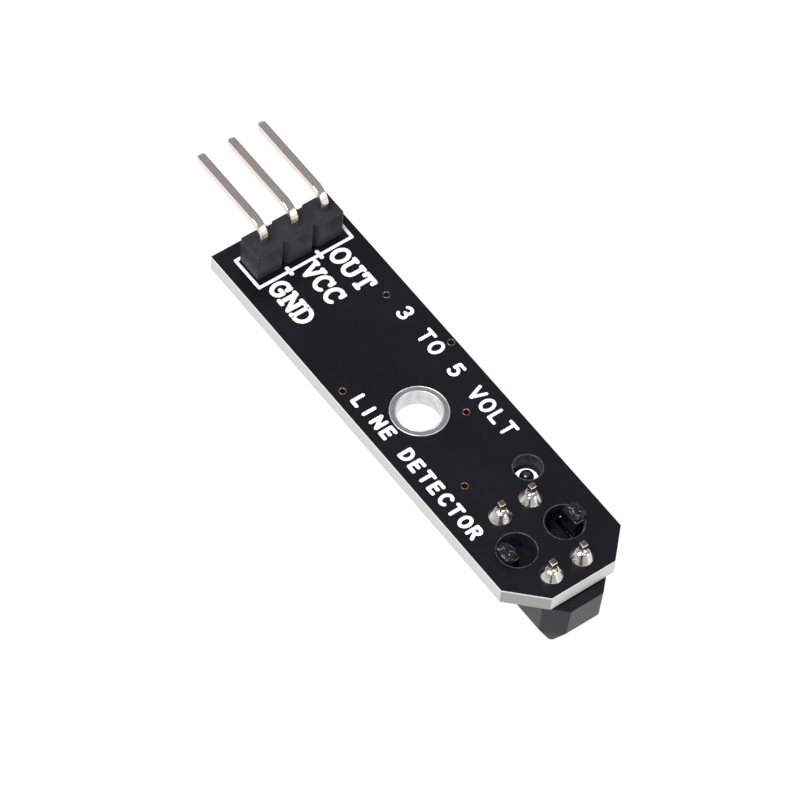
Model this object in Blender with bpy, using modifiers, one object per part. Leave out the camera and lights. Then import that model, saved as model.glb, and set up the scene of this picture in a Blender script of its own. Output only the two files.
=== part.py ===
"""Single-channel line tracking sensor module: a narrow circuit board with a right-angle
three-pin header at one end and a downward-looking reflective optical sensor at the other.

Frame: the origin is the centre of the fixing hole on the board's underside.  +X runs along
the board to the sensor, +Y across it to the signal pin, +Z up to the face with the header.
Every fit between two pieces is the named clearance FIT_GAP.
"""

import math

import bmesh
import bpy
from mathutils import Matrix, Vector

MM = 0.001

# Board outline
BOARD_LENGTH = 35.5 * MM
BOARD_WIDTH = 9.75 * MM
BOARD_THICKNESS = 1.4 * MM
HEAD_MARGIN = 18.5 * MM  # fixing hole to the header end of the board
CENTRE_LINE_Y = 0.74 * MM  # the fixing hole sits a little off the board's centre line
GROUND_CORNER_CUT = 2.4 * MM
SIGNAL_CORNER_CUT = 2.05 * MM

# Fits and plating
FIT_GAP = 0.02 * MM
PLATING = 0.04 * MM
FIXING_BORE = 3.2 * MM
FIXING_RING = 4.15 * MM
VIA_BORE = 0.3 * MM
VIA_RING = 0.6 * MM
# Each via: distance from the fixing hole along X, side of the board, distance in from that edge
VIAS = (
    (-9.1 * MM, 1, 1.7 * MM),
    (-3.4 * MM, 1, 0.42 * MM),
    (1.83 * MM, 1, 3.05 * MM),
    (-4.24 * MM, -1, 0.8 * MM),
    (6.6 * MM, -1, 3.0 * MM),
)

# Pin header
HEADER_SETBACK = 2.45 * MM  # pins from the header end of the board
HEADER_SHIFT_Y = 0.13 * MM  # middle pin from the centre line
PIN_NAMES = ("ground", "supply", "signal")
PIN_PITCH = 2.54 * MM
PIN_WIDTH = 0.6 * MM
PIN_RISE = 4.05 * MM  # axis of the level run above the board's top face
PIN_REACH = 7.55 * MM  # level run's tip beyond the upright part
PIN_BEND = 1.0 * MM
PIN_TAIL = 1.1 * MM
PIN_NECK = 0.27 * MM  # length of the drawn-in tip
PIN_TIP_SHARE = 0.55  # width of the tip's end as a share of the pin's
HEADER_DEPTH = 2.15 * MM
HEADER_HEIGHT = 2.54 * MM
HEADER_END = 1.06 * MM  # moulding beyond the outer pins
NOTCH_DEPTH = 0.37 * MM
NOTCH_HALF_WIDTH = 0.3 * MM

# Solder joints
PAD_RADIUS = 0.84 * MM
JOINT_HEIGHT = 0.65 * MM
JOINT_CROWN = 0.1 * MM  # solder left round the lead at the top of the cone
JOINT_HOLLOW = 1.15  # power of the cone's hollow side
PIN_PLAY = 0.075 * MM  # from a header pin's corner to the wall of its hole
LEAD_PLAY = 0.18 * MM  # the same for a sensor lead

# Reflective optical sensor
SENSOR_SETBACK = 4.35 * MM  # sensor centre from the sensor end of the board
SENSOR_SHIFT_Y = -0.08 * MM  # sensor centre from the centre line
LEAD_PITCH = 2.54 * MM
LEAD_COLUMN = 5.62 * MM  # between the emitter's leads and the detector's
LEAD_WIDTH = 0.45 * MM
LEAD_STAND = 1.5 * MM
HOUSING_LENGTH = 10.5 * MM
HOUSING_WIDTH = 5.35 * MM
HOUSING_CORNER = 1.3 * MM
HOUSING_DEPTH = 3.85 * MM
HOUSING_WALL_DEPTH = 2.85 * MM  # where the end and side bevels start
END_TAPER = 0.14 * MM
CORNER_TAPER = 0.09 * MM
END_BEVEL = 0.6 * MM
SIDE_BEVEL = 0.55 * MM
WINDOW_SPACING = 5.2 * MM
WINDOW_BORE = 2.9 * MM
CAVITY_LENGTH = 3.7 * MM
CAVITY_WIDTH = 3.4 * MM
CAVITY_DEPTH = 2.3 * MM
DIODE_BASE_TOP = 0.15 * MM
DIODE_GAP = 0.1 * MM
LENS_HEIGHT = 1.15 * MM
CLIP_HOLE = 2.75 * MM
CLIP_SPACING = 4.0 * MM
CLIP_WIDTH = 1.5 * MM
CLIP_THICKNESS = 0.8 * MM
CLIP_HOOK = 0.34 * MM
CLIP_HEAD = 0.85 * MM
CLIP_HEAD_EDGE = 0.26 * MM  # upright edge of the head, below its slope
CLIP_HEAD_FLAT = 0.22 * MM  # flat on top of the head
CLIP_FOOT = 0.8 * MM  # depth of the arm's foot on the housing's side
CLIP_FOOT_WIDTH = 2.4 * MM
CLIP_SINK = 0.2 * MM  # how far that foot is let into the housing

# Indicator lamp shining up through the board
LAMP_HOLE = 2.05 * MM
LAMP_BODY = (2.7 * MM, 1.1 * MM, 0.55 * MM)
LAMP_DOME = 0.6 * MM
LAMP_RISE = 0.75 * MM
LAMP_COLLAR_GAP = 0.18 * MM  # white collar round the dome to the hole's wall
LAMP_COLLAR_TOP = 0.1 * MM  # its face above the board's underside
LAMP_CLEARANCE = 0.1 * MM  # lamp body to the housing's cut corner
LAMP_SLIDE = 0.22 * MM  # lamp centre along that corner, from its middle

# Parts on the underside
CHIP_STANDOFF = 0.1 * MM
COMPARATOR_X = -9.05 * MM
COMPARATOR_BODY = (4.9 * MM, 3.9 * MM, 1.4 * MM)
COMPARATOR_DRAFT = 0.12 * MM
COMPARATOR_SPAN = 6.0 * MM
COMPARATOR_PITCH = 1.27 * MM
LEG_WIDTH = 0.42 * MM
LEG_THICKNESS = 0.18 * MM
LEG_FOOT = 0.55 * MM
CHIP_SIZE = (1.6 * MM, 0.8 * MM, 0.45 * MM)
CHIP_ROUNDING = 0.05 * MM
CAPACITOR_HEIGHT = 0.8 * MM
RESISTORS = (  # placed as the vias are; side 0 is the centre line
    (-4.6 * MM, 1, 2.12 * MM),
    (-4.6 * MM, 0, 0),
    (-4.6 * MM, -1, 2.2 * MM),
    (4.5 * MM, 1, 2.27 * MM),
    (4.5 * MM, -1, 2.07 * MM),
)
CAPACITOR_X = -13.3 * MM

ROUND_STEPS = 48
SMALL_STEPS = 16
VIA_STEPS = 12
BEND_STEPS = 8
CONE_STEPS = 4
OVERRUN = 1.0 * MM  # how far a cutter runs past the face it cuts

# Places that follow from the sizes above
HEAD_X = -HEAD_MARGIN
TIP_X = BOARD_LENGTH - HEAD_MARGIN
GROUND_EDGE_Y = CENTRE_LINE_Y - BOARD_WIDTH / 2
SIGNAL_EDGE_Y = CENTRE_LINE_Y + BOARD_WIDTH / 2
HEADER_X = HEAD_X + HEADER_SETBACK
HEADER_Y = CENTRE_LINE_Y + HEADER_SHIFT_Y
PIN_Y = [HEADER_Y + (i - 1) * PIN_PITCH for i in range(3)]
SENSOR_X = TIP_X - SENSOR_SETBACK
SENSOR_Y = CENTRE_LINE_Y + SENSOR_SHIFT_Y
COLUMN_X = [SENSOR_X - LEAD_COLUMN / 2, SENSOR_X + LEAD_COLUMN / 2]
LEAD_Y = [SENSOR_Y - LEAD_PITCH / 2, SENSOR_Y + LEAD_PITCH / 2]
CLIP_Y = [SENSOR_Y - CLIP_SPACING / 2, SENSOR_Y + CLIP_SPACING / 2]


def clear_scene():
    for old in list(bpy.data.objects):
        bpy.data.objects.remove(old, do_unlink=True)


def new_collection(name):
    group = bpy.data.collections.new(name)
    bpy.context.scene.collection.children.link(group)
    return group


def material(name, colour, roughness, metallic=0.0):
    made = bpy.data.materials.new(name)
    made.use_nodes = True
    shader = made.node_tree.nodes["Principled BSDF"]
    shader.inputs["Base Color"].default_value = (*colour, 1.0)
    shader.inputs["Roughness"].default_value = roughness
    shader.inputs["Metallic"].default_value = metallic
    return made


def place(obj, finish, location=(0, 0, 0), turn=0.0, smooth=False):
    """Put a finished piece into the module, under the empty at its origin."""
    PARTS.objects.link(obj)
    obj.parent = ORIGIN
    obj.location = location
    obj.rotation_euler = (0, 0, turn)
    obj.data.materials.append(finish)
    if smooth:
        obj.data.shade_smooth()
        obj.data.set_sharp_from_angle(angle=math.radians(35))
    return obj


def mesh_object(name, bm):
    bmesh.ops.recalc_face_normals(bm, faces=bm.faces)
    mesh = bpy.data.meshes.new(name)
    bm.to_mesh(mesh)
    bm.free()
    return bpy.data.objects.new(name, mesh)


def add_block(bm, low, high):
    low, high = Vector(low), Vector(high)
    matrix = Matrix.Translation((low + high) / 2) @ Matrix.Diagonal((*(high - low), 1))
    return bmesh.ops.create_cube(bm, size=1, matrix=matrix)["verts"]


def add_rod(bm, radius, low_z, high_z, x=0.0, y=0.0, steps=ROUND_STEPS):
    matrix = Matrix.Translation((x, y, (low_z + high_z) / 2))
    bmesh.ops.create_cone(bm, cap_ends=True, segments=steps, radius1=radius, radius2=radius,
                          depth=high_z - low_z, matrix=matrix)


def cut(obj, name, bm, operation="DIFFERENCE"):
    """Cut the shape in bm out of obj, or join it on, with a live Boolean."""
    tool = mesh_object(name, bm)
    TOOLS.objects.link(tool)
    tool.parent = ORIGIN
    tool.location = obj.location
    tool.rotation_euler = obj.rotation_euler
    tool.hide_render = True
    tool.display_type = "WIRE"
    step = obj.modifiers.new(name, "BOOLEAN")
    step.operation = operation
    step.solver = "EXACT"
    step.object = tool


def turned(name, profile, finish, location, steps, smooth=True):
    """Turn a closed profile of (radius, height) points round Z; it runs down its outer side."""
    mesh = bpy.data.meshes.new(name)
    ring = [(i, (i + 1) % len(profile)) for i in range(len(profile))]
    mesh.from_pydata([(r, 0, z) for r, z in profile], ring, [])
    obj = bpy.data.objects.new(name, mesh)
    screw = obj.modifiers.new("Turn", "SCREW")
    screw.axis = "Z"
    screw.angle = math.tau
    screw.steps = steps
    screw.render_steps = steps
    screw.use_merge_vertices = True
    screw.merge_threshold = 1e-6
    screw.use_smooth_shade = smooth
    return place(obj, finish, location)


def square_wire(name, points, width, finish, tip_share=1.0):
    """A square wire along points in one upright plane; its first end is drawn in to tip_share."""
    curve = bpy.data.curves.new(name, "CURVE")
    curve.dimensions = "3D"
    curve.twist_mode = "MINIMUM"
    curve.bevel_depth = width / math.sqrt(2)
    curve.bevel_resolution = 0
    curve.use_fill_caps = True
    path = curve.splines.new("POLY")
    path.points.add(len(points) - 1)
    for point, spot in zip(path.points, points):
        point.co = (*spot, 1)
        point.tilt = math.pi / 4
    path.points[0].radius = tip_share
    obj = bpy.data.objects.new(name, curve)
    return place(obj, finish)


def circuit_board():
    """The board: a plate with two cut corners and a hole for everything that passes it."""
    bm = bmesh.new()
    add_block(bm, (HEAD_X, GROUND_EDGE_Y, 0), (TIP_X, SIGNAL_EDGE_Y, BOARD_THICKNESS))
    for corner_y, width in ((GROUND_EDGE_Y, GROUND_CORNER_CUT), (SIGNAL_EDGE_Y, SIGNAL_CORNER_CUT)):
        edge = [e for e in bm.edges
                if all(abs(v.co.x - TIP_X) < FIT_GAP and abs(v.co.y - corner_y) < FIT_GAP
                       for v in e.verts)]
        bmesh.ops.bevel(bm, geom=edge, offset=width, segments=1, affect="EDGES")
    board = place(mesh_object("circuit_board", bm), BOARD_MASK)
    drill = bmesh.new()
    low, high = -OVERRUN, BOARD_THICKNESS + OVERRUN
    wall = PLATING + FIT_GAP
    add_rod(drill, FIXING_BORE / 2 + wall, low, high)
    for x, side, inset in VIAS:
        add_rod(drill, VIA_BORE / 2 + wall, low, high, x, edge_y(side, inset), SMALL_STEPS)
    for y in PIN_Y:
        radius = PIN_WIDTH / math.sqrt(2) + PIN_PLAY
        add_rod(drill, radius, low, high, HEADER_X, y, SMALL_STEPS)
    for x in COLUMN_X:
        for y in LEAD_Y:
            radius = LEAD_WIDTH / math.sqrt(2) + LEAD_PLAY
            add_rod(drill, radius, low, high, x, y, SMALL_STEPS)
    for y in CLIP_Y:
        add_rod(drill, CLIP_HOLE / 2, low, high, SENSOR_X, y)
    lamp_x, lamp_y = lamp_place()
    add_rod(drill, LAMP_HOLE / 2, low, high, lamp_x, lamp_y)
    cut(board, "board_holes", drill)


def edge_y(side, inset):
    """The place across the board that lies inset from the edge on that side."""
    return CENTRE_LINE_Y + side * (BOARD_WIDTH / 2 - inset)


def lamp_place():
    """Centre of the lamp: beside the housing's cut corner, a little along it."""
    corner_x = SENSOR_X - HOUSING_LENGTH / 2 + HOUSING_CORNER / 2
    corner_y = SENSOR_Y + HOUSING_WIDTH / 2 - HOUSING_CORNER / 2
    out = (LAMP_CLEARANCE + LAMP_BODY[1] / 2) / math.sqrt(2)
    slide = LAMP_SLIDE / math.sqrt(2)
    return corner_x - out + slide, corner_y + out + slide


def plated_barrel(name, bore, ring, x, y, steps):
    """A plated hole: a thin wall through the board with a flat ring on each face."""
    r_in, r_wall, r_ring = bore / 2, bore / 2 + PLATING, ring / 2
    under, over = -FIT_GAP, BOARD_THICKNESS + FIT_GAP
    profile = [
        (r_ring, over + PLATING), (r_ring, over), (r_wall, over), (r_wall, under), (r_ring, under),
        (r_ring, under - PLATING), (r_in, under - PLATING), (r_in, over + PLATING),
    ]
    turned(name, profile, TIN_PLATE, (x, y, 0), steps, smooth=False)


def header():
    """The header: one moulding with notches between its three blocks, and three bent pins."""
    half_x = HEADER_DEPTH / 2
    half_y = PIN_PITCH + HEADER_END
    low_z = BOARD_THICKNESS + FIT_GAP
    high_z = low_z + HEADER_HEIGHT
    bm = bmesh.new()
    add_block(bm, (-half_x, -half_y, low_z), (half_x, half_y, high_z))
    housing = place(mesh_object("header_housing", bm), HEADER_PLASTIC, (HEADER_X, HEADER_Y, 0))
    tool = bmesh.new()
    for side in (-1, 1):
        for row in (-0.5, 0.5):
            spot = Matrix.Translation((side * half_x, row * PIN_PITCH, (low_z + high_z) / 2))
            spread = Matrix.Diagonal((NOTCH_DEPTH, NOTCH_HALF_WIDTH, 1, 1))
            bmesh.ops.create_cone(tool, cap_ends=True, segments=4, radius1=1, radius2=1,
                                  depth=HEADER_HEIGHT + OVERRUN, matrix=spot @ spread)
    slot = PIN_WIDTH / 2 + FIT_GAP
    for row in (-1, 0, 1):
        y = row * PIN_PITCH
        add_block(tool, (-slot, y - slot, low_z - OVERRUN), (slot, y + slot, high_z + OVERRUN))
    cut(housing, "header_notches", tool)

    level = BOARD_THICKNESS + PIN_RISE
    arc = [(HEADER_X - PIN_BEND * (1 - math.sin(a)), level - PIN_BEND * (1 - math.cos(a)))
           for a in (math.pi / 2 * i / BEND_STEPS for i in range(BEND_STEPS + 1))]
    tip = (HEADER_X - PIN_REACH, level)
    neck = (tip[0] + PIN_NECK, level)
    route = [tip, neck, *arc, (HEADER_X, -PIN_TAIL)]
    for name, y in zip(PIN_NAMES, PIN_Y):
        points = [(x, y, z) for x, z in route]
        square_wire(f"header_pin_{name}", points, PIN_WIDTH, TIN_PLATE, PIN_TIP_SHARE)


def solder_joint(name, x, y, face_z, up, core_width):
    """A soldered pad round a square lead: a flat pad that rises to the lead in a hollow cone."""
    bore = core_width / math.sqrt(2) + FIT_GAP
    crown = bore + JOINT_CROWN
    pad_z = face_z + up * FIT_GAP
    pad_top = pad_z + up * PLATING
    sweep = []
    for step in range(CONE_STEPS + 1):
        share = step / CONE_STEPS
        r = PAD_RADIUS + (crown - PAD_RADIUS) * share
        sweep.append((r, pad_top + up * (JOINT_HEIGHT - PLATING) * share ** JOINT_HOLLOW))
    profile = [(bore, pad_z), (bore, sweep[-1][1]), *reversed(sweep), (PAD_RADIUS, pad_z)]
    if up < 0:
        profile.reverse()
    turned(name, profile, SOLDER, (x, y, 0), SMALL_STEPS)


def octagon(half_x, half_y, corner, z):
    """An oblong with its four corners cut at 45 degrees, at height z."""
    x, y = half_x - corner, half_y - corner
    return [(half_x, -y, z), (half_x, y, z), (x, half_y, z), (-x, half_y, z),
            (-half_x, y, z), (-half_x, -y, z), (-x, -half_y, z), (x, -half_y, z)]


def loft(bm, sections):
    """Skin a row of sections that have equal counts of points, and close both ends."""
    rings = [[bm.verts.new(p) for p in section] for section in sections]
    count = len(rings[0])
    for lower, upper in zip(rings, rings[1:]):
        for i in range(count):
            j = (i + 1) % count
            bm.faces.new((lower[i], lower[j], upper[j], upper[i]))
    bm.faces.new(rings[0])
    bm.faces.new(rings[-1])


def housing_sections():
    """The housing's outline at its rim, at the start of its bevels and at its lens face."""
    half_x, half_y = HOUSING_LENGTH / 2, HOUSING_WIDTH / 2
    rim = octagon(half_x, half_y, HOUSING_CORNER, -FIT_GAP)
    corner_in = CORNER_TAPER * math.sqrt(2)
    wall_cut = HOUSING_CORNER + corner_in - END_TAPER
    wall = octagon(half_x - END_TAPER, half_y, wall_cut, -HOUSING_WALL_DEPTH)
    grow = HOUSING_DEPTH / HOUSING_WALL_DEPTH
    face_x = half_x - END_TAPER - END_BEVEL
    face_y = half_y - SIDE_BEVEL
    face_cut = HOUSING_CORNER + corner_in * grow - END_TAPER - END_BEVEL - SIDE_BEVEL
    return rim, wall, octagon(face_x, face_y, face_cut, -HOUSING_DEPTH)


def sensor_housing():
    """The sensor's housing: two open-backed cells with round windows, and two snap arms."""
    bm = bmesh.new()
    loft(bm, housing_sections())
    housing = place(mesh_object("sensor_housing", bm), SENSOR_PLASTIC, (SENSOR_X, SENSOR_Y, 0))
    cells = bmesh.new()
    for side in (-1, 1):
        x = side * WINDOW_SPACING / 2
        add_block(cells, (x - CAVITY_LENGTH / 2, -CAVITY_WIDTH / 2, -CAVITY_DEPTH),
                  (x + CAVITY_LENGTH / 2, CAVITY_WIDTH / 2, OVERRUN))
    cut(housing, "sensor_cells", cells)
    windows = bmesh.new()
    for side in (-1, 1):
        add_rod(windows, WINDOW_BORE / 2, -HOUSING_DEPTH - OVERRUN, -CAVITY_DEPTH + OVERRUN / 2,
                side * WINDOW_SPACING / 2, 0)
    cut(housing, "sensor_windows", windows)
    arms = bmesh.new()
    for side in (-1, 1):
        clip_arm(arms, side)
    cut(housing, "sensor_clips", arms, "UNION")
    feet = bmesh.new()
    outer, _, root = clip_reach()
    for side in (-1, 1):
        low_y, high_y = sorted((side * root, side * outer))
        add_block(feet, (-CLIP_FOOT_WIDTH / 2, low_y, -CLIP_FOOT), (CLIP_FOOT_WIDTH / 2, high_y, -FIT_GAP))
    cut(housing, "sensor_clip_feet", feet, "UNION")


def clip_reach():
    """An arm's outer and inner faces, and where its foot ends inside the housing, from the centre."""
    outer = CLIP_SPACING / 2 + CLIP_HOLE / 2 - 2 * FIT_GAP - chord_loss()
    inner = outer - CLIP_THICKNESS
    return outer, inner, min(inner, HOUSING_WIDTH / 2) - CLIP_SINK


def clip_arm(bm, side):
    """A snap arm: a strip with a head that hooks over its hole's rim, on a foot at the side."""
    outer, inner, root = clip_reach()
    hook_z = BOARD_THICKNESS + 2 * FIT_GAP
    top_z = hook_z + CLIP_HEAD
    half = CLIP_WIDTH / 2
    outline = [(root, -CLIP_FOOT), (outer, -CLIP_FOOT), (outer, hook_z), (outer + CLIP_HOOK, hook_z),
               (outer + CLIP_HOOK, hook_z + CLIP_HEAD_EDGE), (inner + CLIP_HEAD_FLAT, top_z),
               (inner, top_z), (inner, -FIT_GAP), (root, -FIT_GAP)]
    loft(bm, [[(x, side * y, z) for y, z in outline] for x in (-half, half)])


def chord_loss():
    """How much nearer the round hole's edge is at the arm's corners than at its middle."""
    radius = CLIP_HOLE / 2
    return radius - math.sqrt(radius ** 2 - (CLIP_WIDTH / 2) ** 2)


def diode(name, side, finish):
    """An emitter or detector: a cast block with a lens that looks out of its window."""
    x = SENSOR_X + side * WINDOW_SPACING / 2
    half_x = CAVITY_LENGTH / 2 - DIODE_GAP
    half_y = CAVITY_WIDTH / 2 - DIODE_GAP
    low_z = -CAVITY_DEPTH + DIODE_GAP
    bm = bmesh.new()
    add_block(bm, (-half_x, -half_y, low_z), (half_x, half_y, -DIODE_BASE_TOP))
    body = place(mesh_object(name, bm), finish, (x, SENSOR_Y, 0))
    lens = bmesh.new()
    radius = WINDOW_BORE / 2 - DIODE_GAP
    flat = Matrix.Diagonal((radius, radius, LENS_HEIGHT, 1))
    bmesh.ops.create_uvsphere(lens, u_segments=24, v_segments=12, radius=1,
                              matrix=Matrix.Translation((0, 0, low_z)) @ flat)
    cut(body, f"{name}_lens", lens, "UNION")
    body.data.shade_smooth()
    body.data.set_sharp_from_angle(angle=math.radians(35))


def sensor_leads():
    """Four straight leads up through the board, each soldered on the top face."""
    names = (("emitter_anode", "emitter_cathode"), ("detector_emitter", "detector_collector"))
    half = LEAD_WIDTH / 2
    low_z = -DIODE_BASE_TOP + FIT_GAP
    high_z = BOARD_THICKNESS + LEAD_STAND
    for x, pair in zip(COLUMN_X, names):
        for y, name in zip(LEAD_Y, pair):
            bm = bmesh.new()
            add_block(bm, (-half, -half, low_z), (half, half, high_z))
            place(mesh_object(f"sensor_lead_{name}", bm), TIN_PLATE, (x, y, 0))
            solder_joint(f"sensor_joint_{name}", x, y, BOARD_THICKNESS, 1, LEAD_WIDTH)


def indicator_lamp():
    """A reverse-mount lamp: its body lies under the board, its collar and dome in the hole."""
    length, width, depth = LAMP_BODY
    bm = bmesh.new()
    add_block(bm, (-length / 2, -width / 2, -FIT_GAP - depth), (length / 2, width / 2, -FIT_GAP))
    x, y = lamp_place()
    lamp = place(mesh_object("indicator_lamp", bm), LAMP_EPOXY, (x, y, 0), math.pi / 4)
    dome = bmesh.new()
    bottom = -FIT_GAP - depth / 2
    straight = LAMP_RISE - LAMP_DOME
    add_rod(dome, LAMP_DOME, bottom, straight, steps=24)
    cut(lamp, "lamp_neck", dome, "UNION")
    collar = bmesh.new()
    add_rod(collar, LAMP_HOLE / 2 - LAMP_COLLAR_GAP, 0, LAMP_COLLAR_TOP)
    cut(lamp, "lamp_collar", collar, "UNION")
    crown = bmesh.new()
    bmesh.ops.create_uvsphere(crown, u_segments=24, v_segments=12, radius=LAMP_DOME,
                              matrix=Matrix.Translation((0, 0, straight)))
    cut(lamp, "lamp_crown", crown, "UNION")


def comparator():
    """The comparator under the board: a moulded block with four gull-wing legs a side."""
    length, width, height = COMPARATOR_BODY
    top_z = -FIT_GAP - CHIP_STANDOFF
    low_z = top_z - height
    mid_z = (top_z + low_z) / 2
    bm = bmesh.new()
    parts = [(COMPARATOR_DRAFT, low_z), (0, mid_z), (COMPARATOR_DRAFT, top_z)]
    loft(bm, [[(sx * (length / 2 - d), sy * (width / 2 - d), z)
               for sx, sy in ((1, -1), (1, 1), (-1, 1), (-1, -1))] for d, z in parts])
    place(mesh_object("comparator_body", bm), CHIP_PLASTIC, (COMPARATOR_X, CENTRE_LINE_Y, 0))

    foot_z = -FIT_GAP - LEG_THICKNESS / 2
    inner_y = width / 2 + FIT_GAP
    outer_y = COMPARATOR_SPAN / 2
    shin_y = outer_y - LEG_FOOT
    knee_y = shin_y - LEG_THICKNESS
    route = [(inner_y, mid_z), (knee_y, mid_z), (shin_y, foot_z), (outer_y, foot_z)]
    number = 0
    for side in (-1, 1):
        for row in range(4):
            number += 1
            x = COMPARATOR_X + (row - 1.5) * COMPARATOR_PITCH
            bm = bmesh.new()
            ribbon = [[bm.verts.new((edge * LEG_WIDTH / 2, side * y, z)) for y, z in route]
                      for edge in (-1, 1)]
            for i in range(len(route) - 1):
                bm.faces.new((ribbon[0][i], ribbon[0][i + 1], ribbon[1][i + 1], ribbon[1][i]))
            leg = place(mesh_object(f"comparator_leg_{number}", bm), TIN_PLATE, (x, CENTRE_LINE_Y, 0))
            shell = leg.modifiers.new("Thickness", "SOLIDIFY")
            shell.thickness = LEG_THICKNESS
            shell.offset = 0
            shell.use_even_offset = True


def chip(name, x, y, height, finish):
    """A chip resistor or capacitor lying across the board's underside."""
    length, width, _ = CHIP_SIZE
    bm = bmesh.new()
    add_block(bm, (-width / 2, -length / 2, -FIT_GAP - height), (width / 2, length / 2, -FIT_GAP))
    bmesh.ops.bevel(bm, geom=bm.edges[:], offset=CHIP_ROUNDING, segments=1, affect="EDGES")
    place(mesh_object(name, bm), finish, (x, y, 0))


clear_scene()
PARTS = new_collection("line_tracking_sensor_module")
TOOLS = new_collection("cutters")
ORIGIN = bpy.data.objects.new("module_origin", None)
PARTS.objects.link(ORIGIN)

BOARD_MASK = material("black solder mask", (0.018, 0.019, 0.022), 0.42)
TIN_PLATE = material("tin plate", (0.62, 0.58, 0.55), 0.28, 1.0)
SOLDER = material("tin solder", (0.72, 0.69, 0.66), 0.22, 1.0)
HEADER_PLASTIC = material("header plastic", (0.03, 0.03, 0.034), 0.5)
SENSOR_PLASTIC = material("sensor plastic", (0.04, 0.04, 0.044), 0.35)
BLUE_EPOXY = material("blue clear epoxy", (0.03, 0.06, 0.22), 0.08)
BLACK_EPOXY = material("black epoxy", (0.01, 0.01, 0.012), 0.1)
LAMP_EPOXY = material("lamp epoxy", (0.75, 0.76, 0.72), 0.2)
CHIP_PLASTIC = material("chip plastic", (0.02, 0.02, 0.022), 0.6)
RESISTOR_GLAZE = material("resistor glaze", (0.012, 0.012, 0.014), 0.3)
CAPACITOR_CERAMIC = material("capacitor ceramic", (0.36, 0.24, 0.14), 0.45)

circuit_board()
plated_barrel("fixing_hole_barrel", FIXING_BORE, FIXING_RING, 0, 0, ROUND_STEPS)
for index, (via_x, via_side, via_inset) in enumerate(VIAS, 1):
    plated_barrel(f"via_barrel_{index}", VIA_BORE, VIA_RING, via_x, edge_y(via_side, via_inset), VIA_STEPS)
header()
for pin_name, pin_y in zip(PIN_NAMES, PIN_Y):
    solder_joint(f"header_joint_{pin_name}", HEADER_X, pin_y, 0, -1, PIN_WIDTH)
sensor_housing()
diode("infrared_emitter", -1, BLUE_EPOXY)
diode("infrared_detector", 1, BLACK_EPOXY)
sensor_leads()
indicator_lamp()
comparator()
for index, (chip_x, chip_side, chip_inset) in enumerate(RESISTORS, 1):
    chip_y = edge_y(chip_side, chip_inset)
    chip(f"chip_resistor_{index}", chip_x, chip_y, CHIP_SIZE[2], RESISTOR_GLAZE)
chip("supply_capacitor", CAPACITOR_X, CENTRE_LINE_Y, CAPACITOR_HEIGHT, CAPACITOR_CERAMIC)
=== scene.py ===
"""Line tracking sensor module: the fine surfaces, finishes, lights and camera round its fixed frame.

Run as a script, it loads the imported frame, registers its operators, makes every piece and
leaves the module lit and framed.  All sizes are in metres; the sizes that a user would change
are in the property groups, given in millimetres.
"""

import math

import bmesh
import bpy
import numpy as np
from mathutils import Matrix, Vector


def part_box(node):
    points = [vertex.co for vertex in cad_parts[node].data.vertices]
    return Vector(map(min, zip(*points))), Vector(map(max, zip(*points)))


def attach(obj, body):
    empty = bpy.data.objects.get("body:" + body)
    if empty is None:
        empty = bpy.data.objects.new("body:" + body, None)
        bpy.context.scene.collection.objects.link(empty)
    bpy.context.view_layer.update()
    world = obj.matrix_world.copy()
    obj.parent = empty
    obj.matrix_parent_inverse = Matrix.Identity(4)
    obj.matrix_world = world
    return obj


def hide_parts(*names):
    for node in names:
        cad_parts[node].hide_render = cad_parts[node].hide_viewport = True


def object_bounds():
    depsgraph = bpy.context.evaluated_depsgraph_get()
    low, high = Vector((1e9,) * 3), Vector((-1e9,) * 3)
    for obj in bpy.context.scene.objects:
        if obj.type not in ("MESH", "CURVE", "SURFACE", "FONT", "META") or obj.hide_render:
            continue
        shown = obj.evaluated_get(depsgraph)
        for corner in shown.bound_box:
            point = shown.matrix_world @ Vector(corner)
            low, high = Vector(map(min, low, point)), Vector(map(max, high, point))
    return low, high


bl_info = {
    "name": "Line tracking sensor module",
    "version": (1, 0, 0),
    "blender": (4, 5, 0),
    "location": "3D View > Sidebar > Tracking sensor",
    "description": "Builds a line tracking sensor board with its header, optical sensor and finishes",
    "category": "Object",
}

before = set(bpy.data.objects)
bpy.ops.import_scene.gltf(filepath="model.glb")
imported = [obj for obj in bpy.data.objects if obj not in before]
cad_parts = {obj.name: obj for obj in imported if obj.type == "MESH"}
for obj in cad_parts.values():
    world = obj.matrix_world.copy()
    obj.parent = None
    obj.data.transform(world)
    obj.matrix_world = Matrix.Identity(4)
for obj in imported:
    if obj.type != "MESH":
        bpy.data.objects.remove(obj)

MM = 0.001
BODY = "root"
CAD_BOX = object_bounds()
UNDER_GAP = 0.02 * MM  # the frame's gap between touching pieces


def middle(node):
    """The middle of a node's box."""
    low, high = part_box(node)
    return np.array((low + high) / 2)


def half_size(node):
    """Half the length, width and height of a node's box."""
    low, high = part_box(node)
    return np.array((high - low) / 2)


BOARD_LOW, BOARD_HIGH = (np.array(corner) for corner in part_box("circuit_board"))
TOP_Z = BOARD_HIGH[2]
CENTRE_Y = (BOARD_LOW[1] + BOARD_HIGH[1]) / 2
PIN_NAMES = ("ground", "supply", "signal")
LEAD_NAMES = ("emitter_anode", "emitter_cathode", "detector_emitter", "detector_collector")
VIAS = [f"via_barrel_{i}" for i in range(1, 6)]
RESISTORS = [f"chip_resistor_{i}" for i in range(1, 6)]
HEADER_X = middle("header_joint_supply")[0]
SENSOR_XY = np.mean([middle(f"sensor_lead_{name}")[:2] for name in LEAD_NAMES], 0)
LAMP_XY = middle("indicator_lamp")[:2]


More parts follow.
